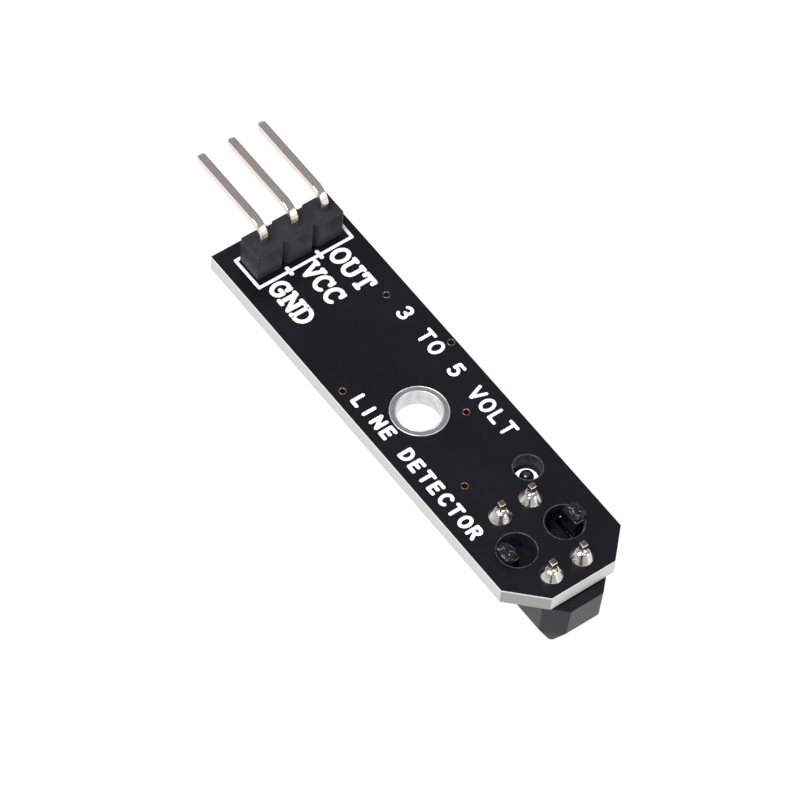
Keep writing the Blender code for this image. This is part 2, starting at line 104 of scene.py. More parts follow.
def srgb(text):
    """Linear RGBA of an sRGB colour written as #rrggbb."""
    value = np.array([int(text[i:i + 2], 16) for i in (1, 3, 5)]) / 255
    linear = np.where(value <= 0.04045, value / 12.92, ((value + 0.055) / 1.055) ** 2.4)
    return (*linear.tolist(), 1.0)


def length(name, description, millimetres):
    return bpy.props.FloatProperty(
        name=name, description=description, default=millimetres * MM, unit="LENGTH", precision=5)


def share(name, description, value):
    return bpy.props.FloatProperty(
        name=name, description=description, default=value, min=0, max=1, subtype="FACTOR")


def colour(name, description, text):
    return bpy.props.FloatVectorProperty(
        name=name, description=description, default=srgb(text), size=4, min=0, max=1, subtype="COLOR")


# ---------------------------------------------------------------- settings


class BoardSettings(bpy.types.PropertyGroup):
    """Sizes and colours of the bare board, its plating and its printing."""

    mask: colour("Mask", "Black solder mask on both faces", "#0d0e12")
    cut_edge: colour("Cut edge", "Glass laminate where it was routed", "#cbccca")
    # Painted shade: a darker laminate tone laid on the rim by face direction, fully on the cut corners.
    snapped_edge: colour("Snapped edge", "Glass laminate at its roughest, at a cut corner", "#8a8b8a")
    ink: colour("Ink", "White legend ink", "#f4f4f2")
    edge_round: length("Edge rounding", "Rounding of the mask at the board's rim", 0.05)
    clip_hole: length("Clip hole", "Bore of the two holes for the sensor's clips", 2.75)
    clip_spacing: length("Clip spacing", "Distance between the two clip holes", 4.0)
    lamp_hole: length("Lamp hole", "Bore of the hole over the lamp", 2.05)
    wire_hole: length("Wire hole", "Bore of the holes that take leads and pins", 1.0)
    # The hole rim is partly bare resin and partly a painted highlight round each drilled hole.
    rim: length("Hole rim", "Width of the bare rim round a drilled hole", 0.07)
    ink_height: length("Ink height", "Thickness of the printed ink", 0.02)
    frame_line: length("Frame line", "Width of the line round the header", 0.25)
    label_height: length("Label height", "Height of the pin labels", 1.62)
    label_line: length("Label line", "Stroke of the pin labels", 0.33)
    text_height: length("Text height", "Height of the two long lines of print", 1.18)
    text_line: length("Text line", "Stroke of the two long lines", 0.25)
    track: length("Track", "Width of a copper track under the mask", 0.32)


class HeaderSettings(bpy.types.PropertyGroup):
    """Sizes and colours of the pin header."""

    plastic: colour("Plastic", "Moulded header body", "#303034")
    tin: colour("Tin", "Tin plate on pins and leads", "#e3dbd4")
    pitch: length("Pitch", "Distance between pins", 2.54)
    pin_width: length("Pin width", "Side of the square pin", 0.6)
    pin_corner: length("Pin corner", "Rounding along the pin's edges", 0.07)
    pin_bend: length("Pin bend", "Radius of the bend at the pin's axis", 1.0)
    pin_tip: length("Pin tip", "Length over which the tip is drawn in", 0.27)
    notch_depth: length("Notch depth", "Depth of the notch between two blocks", 0.37)
    notch_width: length("Notch width", "Width of that notch", 0.6)
    edge_round: length("Edge rounding", "Rounding of the moulding's edges", 0.08)


class SolderSettings(bpy.types.PropertyGroup):
    """Sizes and colour of the soldered joints."""

    solder: colour("Solder", "Bright tin solder", "#ece8e4")
    pad_radius: length("Pad radius", "Radius of a soldered pad", 0.84)
    lead_width: length("Lead width", "Side of a sensor lead", 0.45)


class SensorSettings(bpy.types.PropertyGroup):
    """Sizes and colours of the optical sensor and the lamp."""

    plastic: colour("Plastic", "Moulded sensor case", "#161619")
    emitter: colour("Emitter", "Blue clear epoxy of the emitter", "#0c162c")
    detector: colour("Detector", "Daylight-blocking epoxy of the detector", "#08080a")
    case_width: length("Case width", "Width of the case", 5.35)
    case_corner: length("Case corner", "Length cut from each corner of the case", 1.3)
    wall_depth: length("Wall depth", "Height of the upright walls", 2.85)
    end_taper: length("End taper", "How far the end walls lean in", 0.14)
    end_bevel: length("End bevel", "Bevel at the ends of the lens face", 0.6)
    side_bevel: length("Side bevel", "Bevel at the sides of the lens face", 0.55)
    edge_round: length("Edge rounding", "Rounding of the case's edges", 0.1)
    window: length("Window", "Bore of each round window", 2.9)
    window_spacing: length("Window spacing", "Distance between the windows", 5.2)
    clip_width: length("Clip width", "Width of a clip arm", 1.5)
    clip_hook: length("Clip hook", "How far a clip's head reaches over the board", 0.34)
    clip_thickness: length("Clip thickness", "Thickness of a clip arm", 0.8)
    foot_width: length("Clip foot", "Width of the foot under a clip arm", 2.4)
    foot_depth: length("Foot depth", "How far that foot reaches down the case", 0.8)


class ChipSettings(bpy.types.PropertyGroup):
    """Sizes and colours of the parts on the underside."""

    case: colour("Case", "Moulded comparator case", "#1a1a1c")
    glaze: colour("Glaze", "Glass glaze on a chip resistor", "#0d0d10")
    ceramic: colour("Ceramic", "Body of the supply capacitor", "#a98a62")
    leg_width: length("Leg width", "Width of a comparator leg", 0.42)
    leg_thickness: length("Leg thickness", "Thickness of a comparator leg", 0.18)
    cap_share: share("End cap", "Share of a chip's length that each metal end covers", 0.2)


class StageSettings(bpy.types.PropertyGroup):
    """Camera, floor and lights."""

    floor: colour("Floor", "Plain pale floor", "#f6f6f6")
    azimuth: bpy.props.FloatProperty(
        name="Azimuth", description="Direction of the camera from the module, from +X towards +Y",
        default=math.radians(-41.0), subtype="ANGLE")
    elevation: bpy.props.FloatProperty(
        name="Elevation", description="Height of the camera as an angle",
        default=math.radians(54.47), subtype="ANGLE")
    roll: bpy.props.FloatProperty(
        name="Roll", description="Turn of the camera about its line of sight",
        default=math.radians(5.66), subtype="ANGLE")
    distance: length("Distance", "Camera to the point it looks at", 340.1)
    key: bpy.props.FloatProperty(
        name="Key", description="Radiance of the large softbox over the near side", default=7.5, min=0)
    side: bpy.props.FloatProperty(
        name="Side", description="Radiance of the low softbox at the sensor's end", default=5.3, min=0)
    lens: bpy.props.FloatProperty(
        name="Lens", description="Focal length on a 36 mm sensor", default=227.4, unit="CAMERA")


SETTINGS = {
    "track_board": BoardSettings,
    "track_header": HeaderSettings,
    "track_solder": SolderSettings,
    "track_sensor": SensorSettings,
    "track_chips": ChipSettings,
    "track_stage": StageSettings,
}


# ---------------------------------------------------------------- surfaces


def rounded(points, radius, steps=4, closed=True):
    """Points of a path with each corner P replaced by (1-s)^2 A + 2 s (1-s) P + s^2 B.

    A and B lie on the corner's two sides, radius away from it; radius may differ from corner
    to corner.  An open path keeps its two ends."""
    points = np.array(points, float)
    radius = np.broadcast_to(np.asarray(radius, float), len(points))[:, None]
    before = np.roll(points, 1, 0) - points
    after = np.roll(points, -1, 0) - points
    a = points + before / np.linalg.norm(before, axis=1, keepdims=True) * radius
    b = points + after / np.linalg.norm(after, axis=1, keepdims=True) * radius
    s = np.linspace(0, 1, steps + 1)[:, None]
    curve = (1 - s) ** 2 * a[:, None] + 2 * s * (1 - s) * points[:, None] + s ** 2 * b[:, None]
    if closed:
        return curve.reshape(-1, points.shape[1])
    inner = curve[1:-1].reshape(-1, points.shape[1])
    return np.concatenate([points[:1], inner, points[-1:]])


def drawn_in(outline, distance):
    """A counter-clockwise outline with every side moved in by distance, mitred at the corners."""
    ahead = np.roll(outline, -1, 0) - outline
    ahead /= np.linalg.norm(ahead, axis=1, keepdims=True)
    behind = np.roll(ahead, 1, 0)
    normal_a = np.stack([-ahead[:, 1], ahead[:, 0]], 1)
    normal_b = np.stack([-behind[:, 1], behind[:, 0]], 1)
    mitre = 1 + np.sum(normal_a * normal_b, 1, keepdims=True)
    return outline + distance * (normal_a + normal_b) / mitre


def skin(rings, loop=False):
    """Quads between successive closed rings; open ends get one flat face each.

    rings has the shape (ring, point, 3).  Quad (i, j) joins points j and j + 1 of ring i to the
    same two of ring i + 1; with loop, the last ring is joined back to the first."""
    count, around = rings.shape[:2]
    steps = np.arange(count if loop else count - 1)
    i, j = np.meshgrid(steps, np.arange(around), indexing="ij")
    k, n = (i + 1) % count, (j + 1) % around
    quads = np.stack([i * around + j, i * around + n, k * around + n, k * around + j], -1)
    faces = quads.reshape(-1, 4).tolist()
    if not loop:
        last = (count - 1) * around
        faces += [list(range(around))[::-1], list(range(last, last + around))]
    return rings.reshape(-1, 3), faces


def block(outline, low, high, edge, steps=3):
    """A prism on outline; its rims follow a quarter circle of radius edge in and up."""
    t = np.linspace(0, np.pi / 2, steps + 1)
    insets = np.concatenate([edge * (1 - np.sin(t)), edge * (1 - np.cos(t))])
    levels = np.concatenate([low + edge * (1 - np.cos(t)), high - edge * (1 - np.sin(t))])
    flat = np.stack([drawn_in(outline, inset) for inset in insets])
    heights = np.broadcast_to(levels[:, None, None], (*flat.shape[:2], 1))
    return skin(np.concatenate([flat, heights], 2))


def oblong(half_x, half_y, corner=0.0, steps=4):
    """A rectangle's corners, or its outline with rounded corners."""
    corners = [(-half_x, -half_y), (half_x, -half_y), (half_x, half_y), (-half_x, half_y)]
    return rounded(corners, corner, steps) if corner else np.array(corners)


def turned(profile, steps=48, loop=False, wobble=None):
    """The profile's (radius, height) pairs turned round Z: (r cos a, r sin a, z).

    wobble(a, z) scales the radius where a hand-made surface isn't quite round."""
    profile = np.array(profile, float)
    a = np.linspace(0, 2 * np.pi, steps, endpoint=False)[None, :]
    r, z = profile[:, :1], profile[:, 1:]
    if wobble is not None:
        r = r * wobble(a, z)
    return skin(np.stack([r * np.cos(a), r * np.sin(a), z + 0 * a], -1), loop)


def swept(path, across, section, scale=1.0):
    """A closed section carried along path, which lies in the plane square to across.

    Point (i, j) is path_i + u_j across + v_j (across x tangent_i), with (u, v) the section."""
    path = np.array(path, float)
    across = np.array(across, float)
    tangent = np.gradient(path, axis=0)
    tangent /= np.linalg.norm(tangent, axis=1, keepdims=True)
    lift = np.cross(across, tangent)
    scale = np.broadcast_to(np.asarray(scale, float), len(path))[:, None, None]
    u, v = section[None, :, :1], section[None, :, 1:]
    return skin(path[:, None] + scale * (u * across + v * lift[:, None]))


def stroke(path, width, height, steps=10):
    """One pen stroke: a flat bead along path, lens-shaped across, with round ends.

    Each end is a half circle: the pen moves on by (w/2) sin b while its half-width is (w/2) cos b."""
    path = np.array(path, float)
    tangent = np.gradient(path, axis=0)
    tangent /= np.linalg.norm(tangent, axis=1, keepdims=True)
    b = np.radians([80, 60, 40, 20])
    run, thin = width / 2 * np.sin(b)[:, None], np.cos(b)
    centre = np.concatenate([path[0] - run * tangent[0], path, path[-1] + run[::-1] * tangent[-1]])
    share_of = np.concatenate([thin, np.ones(len(path)), thin[::-1]])[:, None]
    along = np.concatenate([np.repeat(tangent[:1], 4, 0), tangent, np.repeat(tangent[-1:], 4, 0)])
    side = np.stack([-along[:, 1], along[:, 0]], 1)
    v = np.linspace(0, 2 * np.pi, steps, endpoint=False)[None, :]
    half = width / 2 * share_of * np.cos(v)
    lift = height * share_of * np.sin(v)
    flat = centre[:, None] + half[..., None] * side[:, None]
    return skin(np.concatenate([flat, lift[..., None]], 2))


def moved(part, x=0.0, y=0.0, z=0.0, turn=0.0):
    """A part turned about Z and then moved."""
    points, faces = part
    c, s = math.cos(turn), math.sin(turn)
    spin = np.array([[c, s, 0], [-s, c, 0], [0, 0, 1]])
    return points @ spin + np.array([x, y, z]), faces


def stood_up(part, side=1):
    """A part drawn in the (y, z) plane and grown along its own z: (u, v, w) goes to (w, side u, v)."""
    points, faces = part
    return np.stack([points[:, 2], side * points[:, 0], points[:, 1]], 1), faces


def joined(parts):
    """Several parts as one list of points and faces."""
    points, faces = [], []
    start = 0
    for spots, sides in parts:
        points.append(spots)
        faces += [[start + i for i in side] for side in sides]
        start += len(spots)
    return np.concatenate(points), faces


def piece(name, parts, stands_for=(), sharp=35):
    """One object from (part, finish) pairs, riding on the module, with its normals outwards."""
    points, faces = joined([part for part, _ in parts])
    finishes = []
    for _, finish in parts:
        if finish not in finishes:
            finishes.append(finish)
    kinds = [finishes.index(finish) for (_, sides), finish in parts for _ in sides]
    mesh = bpy.data.meshes.new(name)
    mesh.from_pydata(points.tolist(), [], faces)
    for finish in finishes:
        mesh.materials.append(finish)
    mesh.polygons.foreach_set("material_index", kinds)
    return settle(name, mesh, stands_for, sharp)


def settle(name, mesh, stands_for=(), sharp=35):
    """Faces outwards, shades the mesh and ties its object to the module's body."""
    bm = bmesh.new()
    bm.from_mesh(mesh)
    bmesh.ops.recalc_face_normals(bm, faces=bm.faces)
    bm.to_mesh(mesh)
    bm.free()
    mesh.shade_smooth()
    mesh.set_sharp_from_angle(angle=math.radians(sharp))
    obj = bpy.data.objects.new(name, mesh)
    bpy.context.scene.collection.objects.link(obj)
    weigh = obj.modifiers.new("Flat faces stay flat", "WEIGHTED_NORMAL")
    weigh.keep_sharp = True
    weigh.weight = 100
    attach(obj, BODY)
    if stands_for:
        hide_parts(*stands_for)
    return obj


def cut_away(obj, tool_parts, sharp):
    """Cuts closed parts out of an object's mesh for good and shades it again."""
    points, faces = joined(tool_parts)
    tool_mesh = bpy.data.meshes.new("cutter")
    tool_mesh.from_pydata(points.tolist(), [], faces)
    tool = bpy.data.objects.new("cutter", tool_mesh)
    bpy.context.scene.collection.objects.link(tool)
    step = obj.modifiers.new("Cut", "BOOLEAN")
    step.solver = "EXACT"
    step.object = tool
    weigh = obj.modifiers[0]
    weigh.show_viewport = False
    graph = bpy.context.evaluated_depsgraph_get()
    result = bpy.data.meshes.new_from_object(obj.evaluated_get(graph))
    weigh.show_viewport = True
    obj.modifiers.remove(step)
    old = obj.data
    obj.data = result
    bpy.data.meshes.remove(old)
    bpy.data.objects.remove(tool)
    obj.data.shade_smooth()
    obj.data.set_sharp_from_angle(angle=math.radians(sharp))


# ---------------------------------------------------------------- finishes


def per(millimetres):
    """Texture scale that gives one feature in this many millimetres."""
    return 1000.0 / millimetres


def add(tree, kind, inputs=None, **settings):
    """Adds one shader node with its settings; an input is a value or another node's socket."""
    made = tree.nodes.new("ShaderNode" + kind)
    for key, value in settings.items():
        setattr(made, key, value)
    for key, value in (inputs or {}).items():
        if isinstance(value, bpy.types.NodeSocket):
            tree.links.new(value, made.inputs[key])
        else:
            made.inputs[key].default_value = value
    return made


def made_once(make):
    """Names a material after its function, makes it the first time and finds it after that."""
    def get():
        name = make.__name__.replace("_", " ")
        found = bpy.data.materials.get(name)
        if found is None:
            found = bpy.data.materials.new(name)
            found.use_nodes = True
            tree = found.node_tree
            make(tree, tree.nodes["Principled BSDF"])
        return found
    return get


def pattern_space(tree, stretch=(1, 1, 1)):
    """Object coordinates, stretched so that a pattern runs along an axis."""
    place = add(tree, "TexCoord").outputs["Object"]
    return add(tree, "Mapping", {"Vector": place, "Scale": stretch}).outputs[0]


def noise(tree, size, detail=3.0, stretch=(1, 1, 1), swirl=0.0):
    """A noise value with features of the given size in millimetres."""
    return add(tree, "TexNoise", {"Vector": pattern_space(tree, stretch), "Scale": per(size),
                                  "Detail": detail, "Distortion": swirl}).outputs[0]


def ramp(tree, dark, light, value, span=(0.35, 0.65)):
    """A colour that goes from dark to light while value crosses span."""
    made = add(tree, "ValToRGB", {"Fac": value})
    for element, position, tone in zip(made.color_ramp.elements, span, (dark, light)):
        element.position = position
        element.color = tone
    return made.outputs[0]


def tones(tree, shader, dark, light, value, span=(0.35, 0.65)):
    """Base colour that drifts between two tones with a noise value."""
    tree.links.new(ramp(tree, dark, light, value, span), shader.inputs["Base Color"])


def roughen(tree, shader, value, low, high):
    """Roughness between low and high with a noise value."""
    spread = add(tree, "MapRange", {"Value": value, "From Min": 0.3, "From Max": 0.7,
                                    "To Min": low, "To Max": high})
    tree.links.new(spread.outputs[0], shader.inputs["Roughness"])


def emboss(tree, shader, height, millimetres, strength=1.0):
    """Bump from a height value, so many millimetres deep."""
    bump = add(tree, "Bump", {"Height": height, "Distance": millimetres * MM, "Strength": strength})
    tree.links.new(bump.outputs[0], shader.inputs["Normal"])


def grained(tree, shader, dark, light, size, gloss, bump=0.0, detail=3.0, stretch=(1, 1, 1),
            swirl=0.0, span=(0.35, 0.65), **inputs):
    """A finish from one noise pattern, size and bump in millimetres.

    The noise drifts between two tones and the two roughnesses of gloss, and is felt as a bump.
    inputs are more inputs of the shader, with underscores for spaces."""
    grain = noise(tree, size, detail, stretch, swirl)
    tones(tree, shader, dark, light, grain, span)
    roughen(tree, shader, grain, *gloss)
    if bump:
        emboss(tree, shader, grain, bump)
    for name, value in inputs.items():
        shader.inputs[name.replace("_", " ")].default_value = value


def shaded(tone, factor):
    """A colour made darker or lighter by a factor."""
    return (*(min(1.0, channel * factor) for channel in tone[:3]), 1.0)


def sizes(name):
    return getattr(bpy.context.scene, name)


YARN_SPACING = 0.5  # millimetres between the laminate's glass yarns
WAVE_TURN = 6.28  # a wave pattern repeats this many times in one unit of its scale


@made_once
def solder_mask(tree, shader):
    """Liquid resist mask, sprayed and baked: a satin black that drifts a little in tone, with the
    glass weave under it just felt in the gloss."""
    mask = sizes("track_board").mask
    tones(tree, shader, shaded(mask, 0.8), shaded(mask, 1.2), noise(tree, 5, 4.0))
    roughen(tree, shader, noise(tree, 0.25), 0.3, 0.42)
    warp, weft = (
        add(tree, "TexWave", {"Vector": pattern_space(tree), "Scale": per(YARN_SPACING) / WAVE_TURN,
                              "Distortion": 1.5}, bands_direction=way).outputs["Fac"] for way in "XY")
    weave = add(tree, "Math", {0: warp, 1: weft}, operation="ADD").outputs[0]
    emboss(tree, shader, weave, 0.0012)
    shader.inputs["Specular IOR Level"].default_value = 0.24


@made_once
def cut_laminate(tree, shader):
    """Glass-epoxy laminate, routed: pale, in fine plies along the edge, with a painted highlight: a
    brighter band just under the mask, where the top edge catches the light."""
    # The second tone is painted shade, mixed in by face direction: all of it on the cut corners, a little
    # on the long sides.
    edge, rough = sizes("track_board").cut_edge, sizes("track_board").snapped_edge
    plies = noise(tree, 1.4, 5.0, (1, 1, 14))
    layered = ramp(tree, shaded(edge, 0.9), shaded(edge, 1.0), plies, (0.3, 0.7))
    face_shade_share = add(tree, "Attribute", attribute_name="sheared").outputs["Fac"]
    face_shaded_tone = add(tree, "Mix", {0: face_shade_share, 6: layered, 7: rough}, data_type="RGBA")
    place = add(tree, "TexCoord").outputs["Object"]
    height = add(tree, "SeparateXYZ", {0: place}).outputs["Z"]
    # Painted highlight: the rim turns lighter just below the mask, where the top edge catches the light.
    band = add(tree, "MapRange", {"Value": height, "From Min": TOP_Z - 0.2 * MM,
                                  "From Max": TOP_Z - 0.1 * MM, "To Max": 0.8}).outputs[0]
    lit = add(tree, "Mix", {0: band, 6: face_shaded_tone.outputs[2], 7: srgb("#dcdcd8")}, data_type="RGBA")
    tree.links.new(lit.outputs[2], shader.inputs["Base Color"])
    roughen(tree, shader, plies, 0.6, 0.8)
    emboss(tree, shader, plies, 0.01)


@made_once
def drilled_wall(tree, shader):
    """Laminate inside an unplated hole, in a dark tone taken from the mask's colour, streaked along the
    bore.
    """
    mask = sizes("track_board").mask
    grained(tree, shader, shaded(mask, 0.7), shaded(mask, 1.6), 0.3, (0.5, 0.7), detail=4.0,
            stretch=(1, 1, 0.3))


@made_once
def bare_rim_and_highlight(tree, shader):
    """The thin rim where the drill broke the mask: grey resin, half gloss, and partly a painted highlight,
    the light line that the rounded rim of the mask catches.
    """
    grained(tree, shader, srgb("#1f1e20"), srgb("#565458"), 0.2, (0.3, 0.5))


@made_once
def legend_ink(tree, shader):
    """Screen-printed epoxy ink: a dense white with faint pinholes and a soft edge."""
    ink = sizes("track_board").ink
    grained(tree, shader, shaded(ink, 0.9), ink, 0.12, (0.45, 0.6), detail=4.0, span=(0.25, 0.5))


@made_once
def tin_plate(tree, shader):
    """Bright tin plated on drawn brass: a warm grey metal with faint drawing lines along it."""
    tin = sizes("track_header").tin
    grained(tree, shader, shaded(tin, 0.93), tin, 0.08, (0.16, 0.22), detail=4.0,
            stretch=(0.06, 1, 1), Metallic=1.0)


@made_once
def plated_ring(tree, shader):
    """Tin-levelled copper round the fixing hole: bright, with slow drifts in its gloss from the
    hot-air knife."""
    tin = srgb("#cfcfcf")
    grained(tree, shader, shaded(tin, 0.9), shaded(tin, 1.1), 0.5, (0.1, 0.16), Metallic=1.0)


@made_once
def rim_scuff_and_painted_sheen(tree, shader):
    """The eyelet's rounded rims: the same tin, rougher from scuffing and painted lighter, a painted sheen
    where the rims catch the light.
    """
    grained(tree, shader, srgb("#dcdcdc"), srgb("#f2f2f2"), 0.3, (0.42, 0.52), Metallic=1.0)


@made_once
def cut_wire(tree, shader):
    """The sheared end of a lead: darker, brownish metal with drag marks."""
    grained(tree, shader, srgb("#6a5f5b"), srgb("#9a8f8a"), 0.1, (0.3, 0.45), stretch=(1, 0.15, 1),
            Metallic=1.0)


@made_once
def tin_solder(tree, shader):
    """Tin solder, hand fed: mirror-bright, gently rippled where it froze, warm where flux stayed."""
    solder = sizes("track_solder").solder
    tones(tree, shader, shaded(solder, 0.78), solder, noise(tree, 0.7, 2.0))
    ripple = noise(tree, 0.35, 2.0)
    roughen(tree, shader, ripple, 0.12, 0.2)
    emboss(tree, shader, ripple, 0.004)
    shader.inputs["Metallic"].default_value = 1.0


@made_once
def masked_copper(tree, shader):
    """The rim of a small via: copper seen brown through thin mask."""
    grained(tree, shader, srgb("#7d6459"), srgb("#b09a8e"), 0.5, (0.14, 0.22), detail=2.0,
            Metallic=1.0)


@made_once
def via_wall(tree, shader):
    """The barrel of a small via, dark with mask that ran in and set glossy."""
    grained(tree, shader, srgb("#0c0908"), srgb("#2a1f1b"), 0.12, (0.08, 0.16), detail=2.0)


@made_once
def header_plastic(tree, shader):
    """Glass-filled polyester, injection moulded: satin charcoal with faint paler flow marks."""
    plastic = sizes("track_header").plastic
    grained(tree, shader, shaded(plastic, 0.9), shaded(plastic, 1.1), 1.3, (0.3, 0.34), detail=5.0,
            swirl=0.8, Specular_IOR_Level=0.1)


@made_once
def sensor_plastic(tree, shader):
    """Polycarbonate, injection moulded and polished by its mould: a glossy black that mirrors
    pale surroundings as grey."""
    plastic = sizes("track_sensor").plastic
    grained(tree, shader, shaded(plastic, 0.8), shaded(plastic, 1.2), 2.2, (0.18, 0.26),
            Specular_IOR_Level=0.2)
    emboss(tree, shader, noise(tree, 0.15, 2.0), 0.002)


@made_once
def polished_clip(tree, shader):
    """The same polycarbonate where a thick clip head cooled slowly: wet gloss on a sunken, wavy skin."""
    plastic = sizes("track_sensor").plastic
    grained(tree, shader, shaded(plastic, 0.4), shaded(plastic, 0.8), 0.5, (0.04, 0.08), 0.03,
            detail=1.0)


@made_once
def emitter_epoxy(tree, shader):
    """Cast epoxy with a blue filter dye: deep blue and wet-looking."""
    blue = sizes("track_sensor").emitter
    grained(tree, shader, shaded(blue, 0.6), shaded(blue, 1.3), 0.9, (0.04, 0.1), 0.02, detail=2.0,
            Coat_Weight=0.6, Coat_Roughness=0.03)


@made_once
def detector_epoxy(tree, shader):
    """Cast epoxy that blocks daylight: black, with the same wet gloss."""
    black = sizes("track_sensor").detector
    grained(tree, shader, shaded(black, 0.6), shaded(black, 1.6), 0.9, (0.04, 0.1), detail=2.0,
            Coat_Weight=0.5, Coat_Roughness=0.03)


@made_once
def lamp_carrier(tree, shader):
    """White-filled resin of a surface-mount lamp, milled: matte with a fine tooth, with a painted glow,
    an even emission that stands in for the light reaching it from below through the thin resin."""
    grained(tree, shader, srgb("#e6e6e2"), srgb("#ffffff"), 0.1, (0.5, 0.65),
            Emission_Color=srgb("#ffffff"), Emission_Strength=0.75)


@made_once
def lamp_lens(tree, shader):
    """Clear cast dome over a dark chip bed: reads near-black with sharp glints."""
    grained(tree, shader, srgb("#121316"), srgb("#2c2e34"), 0.5, (0.03, 0.08), 0.08, detail=2.0,
            Coat_Weight=0.8, Coat_Roughness=0.02)


@made_once
def moulding_compound(tree, shader):
    """Silica-filled epoxy moulding compound, spark-finished mould: matte, sandy charcoal."""
    case = sizes("track_chips").case
    grained(tree, shader, shaded(case, 0.75), shaded(case, 1.4), 0.06, (0.55, 0.7), 0.006, detail=4.0)


@made_once
def chip_dot(tree, shader):
    """The pin mark of a moulded case: the same compound, smooth where the mould was polished."""
    case = sizes("track_chips").case
    grained(tree, shader, shaded(case, 0.6), shaded(case, 0.9), 0.1, (0.2, 0.3), detail=2.0)


@made_once
def alumina(tree, shader):
    """Fired alumina of a chip resistor, snapped from its sheet: chalk white with a rough break."""
    grained(tree, shader, srgb("#c9c8c2"), srgb("#efeee9"), 0.05, (0.6, 0.8), 0.004)


@made_once
def resistor_glaze(tree, shader):
    """Printed and fired glass glaze: black, slightly rippled, glossy."""
    glaze = sizes("track_chips").glaze
    grained(tree, shader, shaded(glaze, 0.7), shaded(glaze, 1.5), 0.3, (0.15, 0.3), 0.01, detail=2.0)


@made_once
def capacitor_ceramic(tree, shader):
    """Fired barium titanate: an even tan with tiny darker grains."""
    tan = sizes("track_chips").ceramic
    grained(tree, shader, shaded(tan, 0.8), shaded(tan, 1.1), 0.08, (0.4, 0.55), detail=4.0)


@made_once
def floor_board(tree, shader):
    """Plain pale floor, lit from below like a light table so that no shadow muddies it."""
    pale = sizes("track_stage").floor
    looks = {"Base Color": shaded(pale, 0.12), "Roughness": 1.0, "Specular IOR Level": 0.0,
             "Emission Color": pale, "Emission Strength": 1.08}
    for name, value in looks.items():
        shader.inputs[name].default_value = value


# ---------------------------------------------------------------- printing

# A glyph's strokes on a body one unit high: four numbers are a line (x0, y0, x1, y1), six are an
# arc (centre x, centre y, radius x, radius y, first angle, last angle in degrees).
GLYPHS = {
    "C": ((0.38, 0.5, 0.38, 0.5, 48, 312),),
    "D": ((0, 0, 0, 1), (0.2, 0.5, 0.46, 0.5, -90, 90), (0, 0, 0.2, 0), (0, 1, 0.2, 1)),
    "E": ((0, 0, 0, 1), (0, 1, 0.58, 1), (0, 0.52, 0.5, 0.52), (0, 0, 0.58, 0)),
    "G": ((0.37, 0.5, 0.37, 0.5, 48, 330), (0.69, 0.25, 0.69, 0.46), (0.69, 0.46, 0.42, 0.46)),
    "I": ((0.3, 0, 0.3, 1),),
    "L": ((0.05, 0, 0.05, 1), (0.05, 0, 0.6, 0)),
    "N": ((0, 0, 0, 1), (0, 1, 0.65, 0), (0.65, 0, 0.65, 1)),
    "O": ((0.36, 0.5, 0.36, 0.5, 0, 360),),
    "R": ((0, 0, 0, 1), (0.3, 0.75, 0.3, 0.25, -90, 90), (0, 1, 0.3, 1), (0, 0.5, 0.3, 0.5),
          (0.3, 0.5, 0.62, 0)),
    "T": ((0.35, 0, 0.35, 1), (0, 1, 0.7, 1)),
    "U": ((0, 1, 0, 0.35), (0.33, 0.35, 0.33, 0.35, 180, 360), (0.66, 0.35, 0.66, 1)),
    "V": ((0, 1, 0.35, 0), (0.35, 0, 0.7, 1)),
    "3": ((0.28, 0.75, 0.27, 0.25, 150, -90), (0.28, 0.25, 0.3, 0.25, 90, -150)),
    "5": ((0.56, 1, 0.1, 1), (0.1, 1, 0.06, 0.56), (0.27, 0.32, 0.31, 0.32, 132, -145)),
}
# Slab serifs that the pin labels add to their letters.
SERIFS = {
    "C": ((0.66, 0.72, 0.66, 0.98),),
    "D": ((-0.12, 0, 0.1, 0), (-0.12, 1, 0.1, 1)),
    "G": ((0.64, 0.74, 0.64, 0.98),),
    "N": ((-0.12, 0, 0.14, 0), (-0.12, 1, 0.05, 1), (0.52, 1, 0.78, 1)),
    "T": ((0.2, 0, 0.5, 0), (0, 1, 0, 0.8), (0.7, 1, 0.7, 0.8)),
    "U": ((-0.12, 1, 0.14, 1), (0.52, 1, 0.78, 1)),
    "V": ((-0.1, 1, 0.14, 1), (0.56, 1, 0.8, 1)),
}
ARC_STEPS = 20


def pen_path(marks):
    """The points of one line or arc of a glyph."""
    if len(marks) == 4:
        s = np.linspace(0, 1, 3)[:, None]
        return (1 - s) * np.array(marks[:2]) + s * np.array(marks[2:])
    x, y, wide, tall, first, last = marks
    a = np.radians(np.linspace(first, last, ARC_STEPS + 1))
    return np.stack([x + wide * np.cos(a), y + tall * np.sin(a)], 1)


def print_line(text, x, y, height, pitch, line, ink_height, slab=False):
    """The strokes of a line of print that starts at x and is centred on y."""
    parts = []
    tall = height - line
    for place, letter in enumerate(text):
        marks = GLYPHS.get(letter, ()) + (SERIFS.get(letter, ()) if slab else ())
        corner = np.array([x + place * pitch + line / 2, y - tall / 2])
        for mark in marks:
            parts.append(stroke(corner + tall * pen_path(mark), line, ink_height))
    return parts


def ruled(points, line, ink_height, z=0.0):
    """Straight strokes from point to point, at height z."""
    parts = []
    for start, end in zip(points[:-1], points[1:]):
        s = np.linspace(0, 1, 3)[:, None]
        path = (1 - s) * np.array(start) * MM + s * np.array(end) * MM
        parts.append(moved(stroke(path, line, ink_height), z=z))
    return parts


# ---------------------------------------------------------------- the board


def tip_span():
    """The lowest and highest Y of the board's end face, between its two cut corners."""
    spots = np.array([v.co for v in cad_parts["circuit_board"].data.vertices])
    ends = spots[spots[:, 0] > BOARD_HIGH[0] - 0.01 * MM, 1]
    return ends.min(), ends.max()


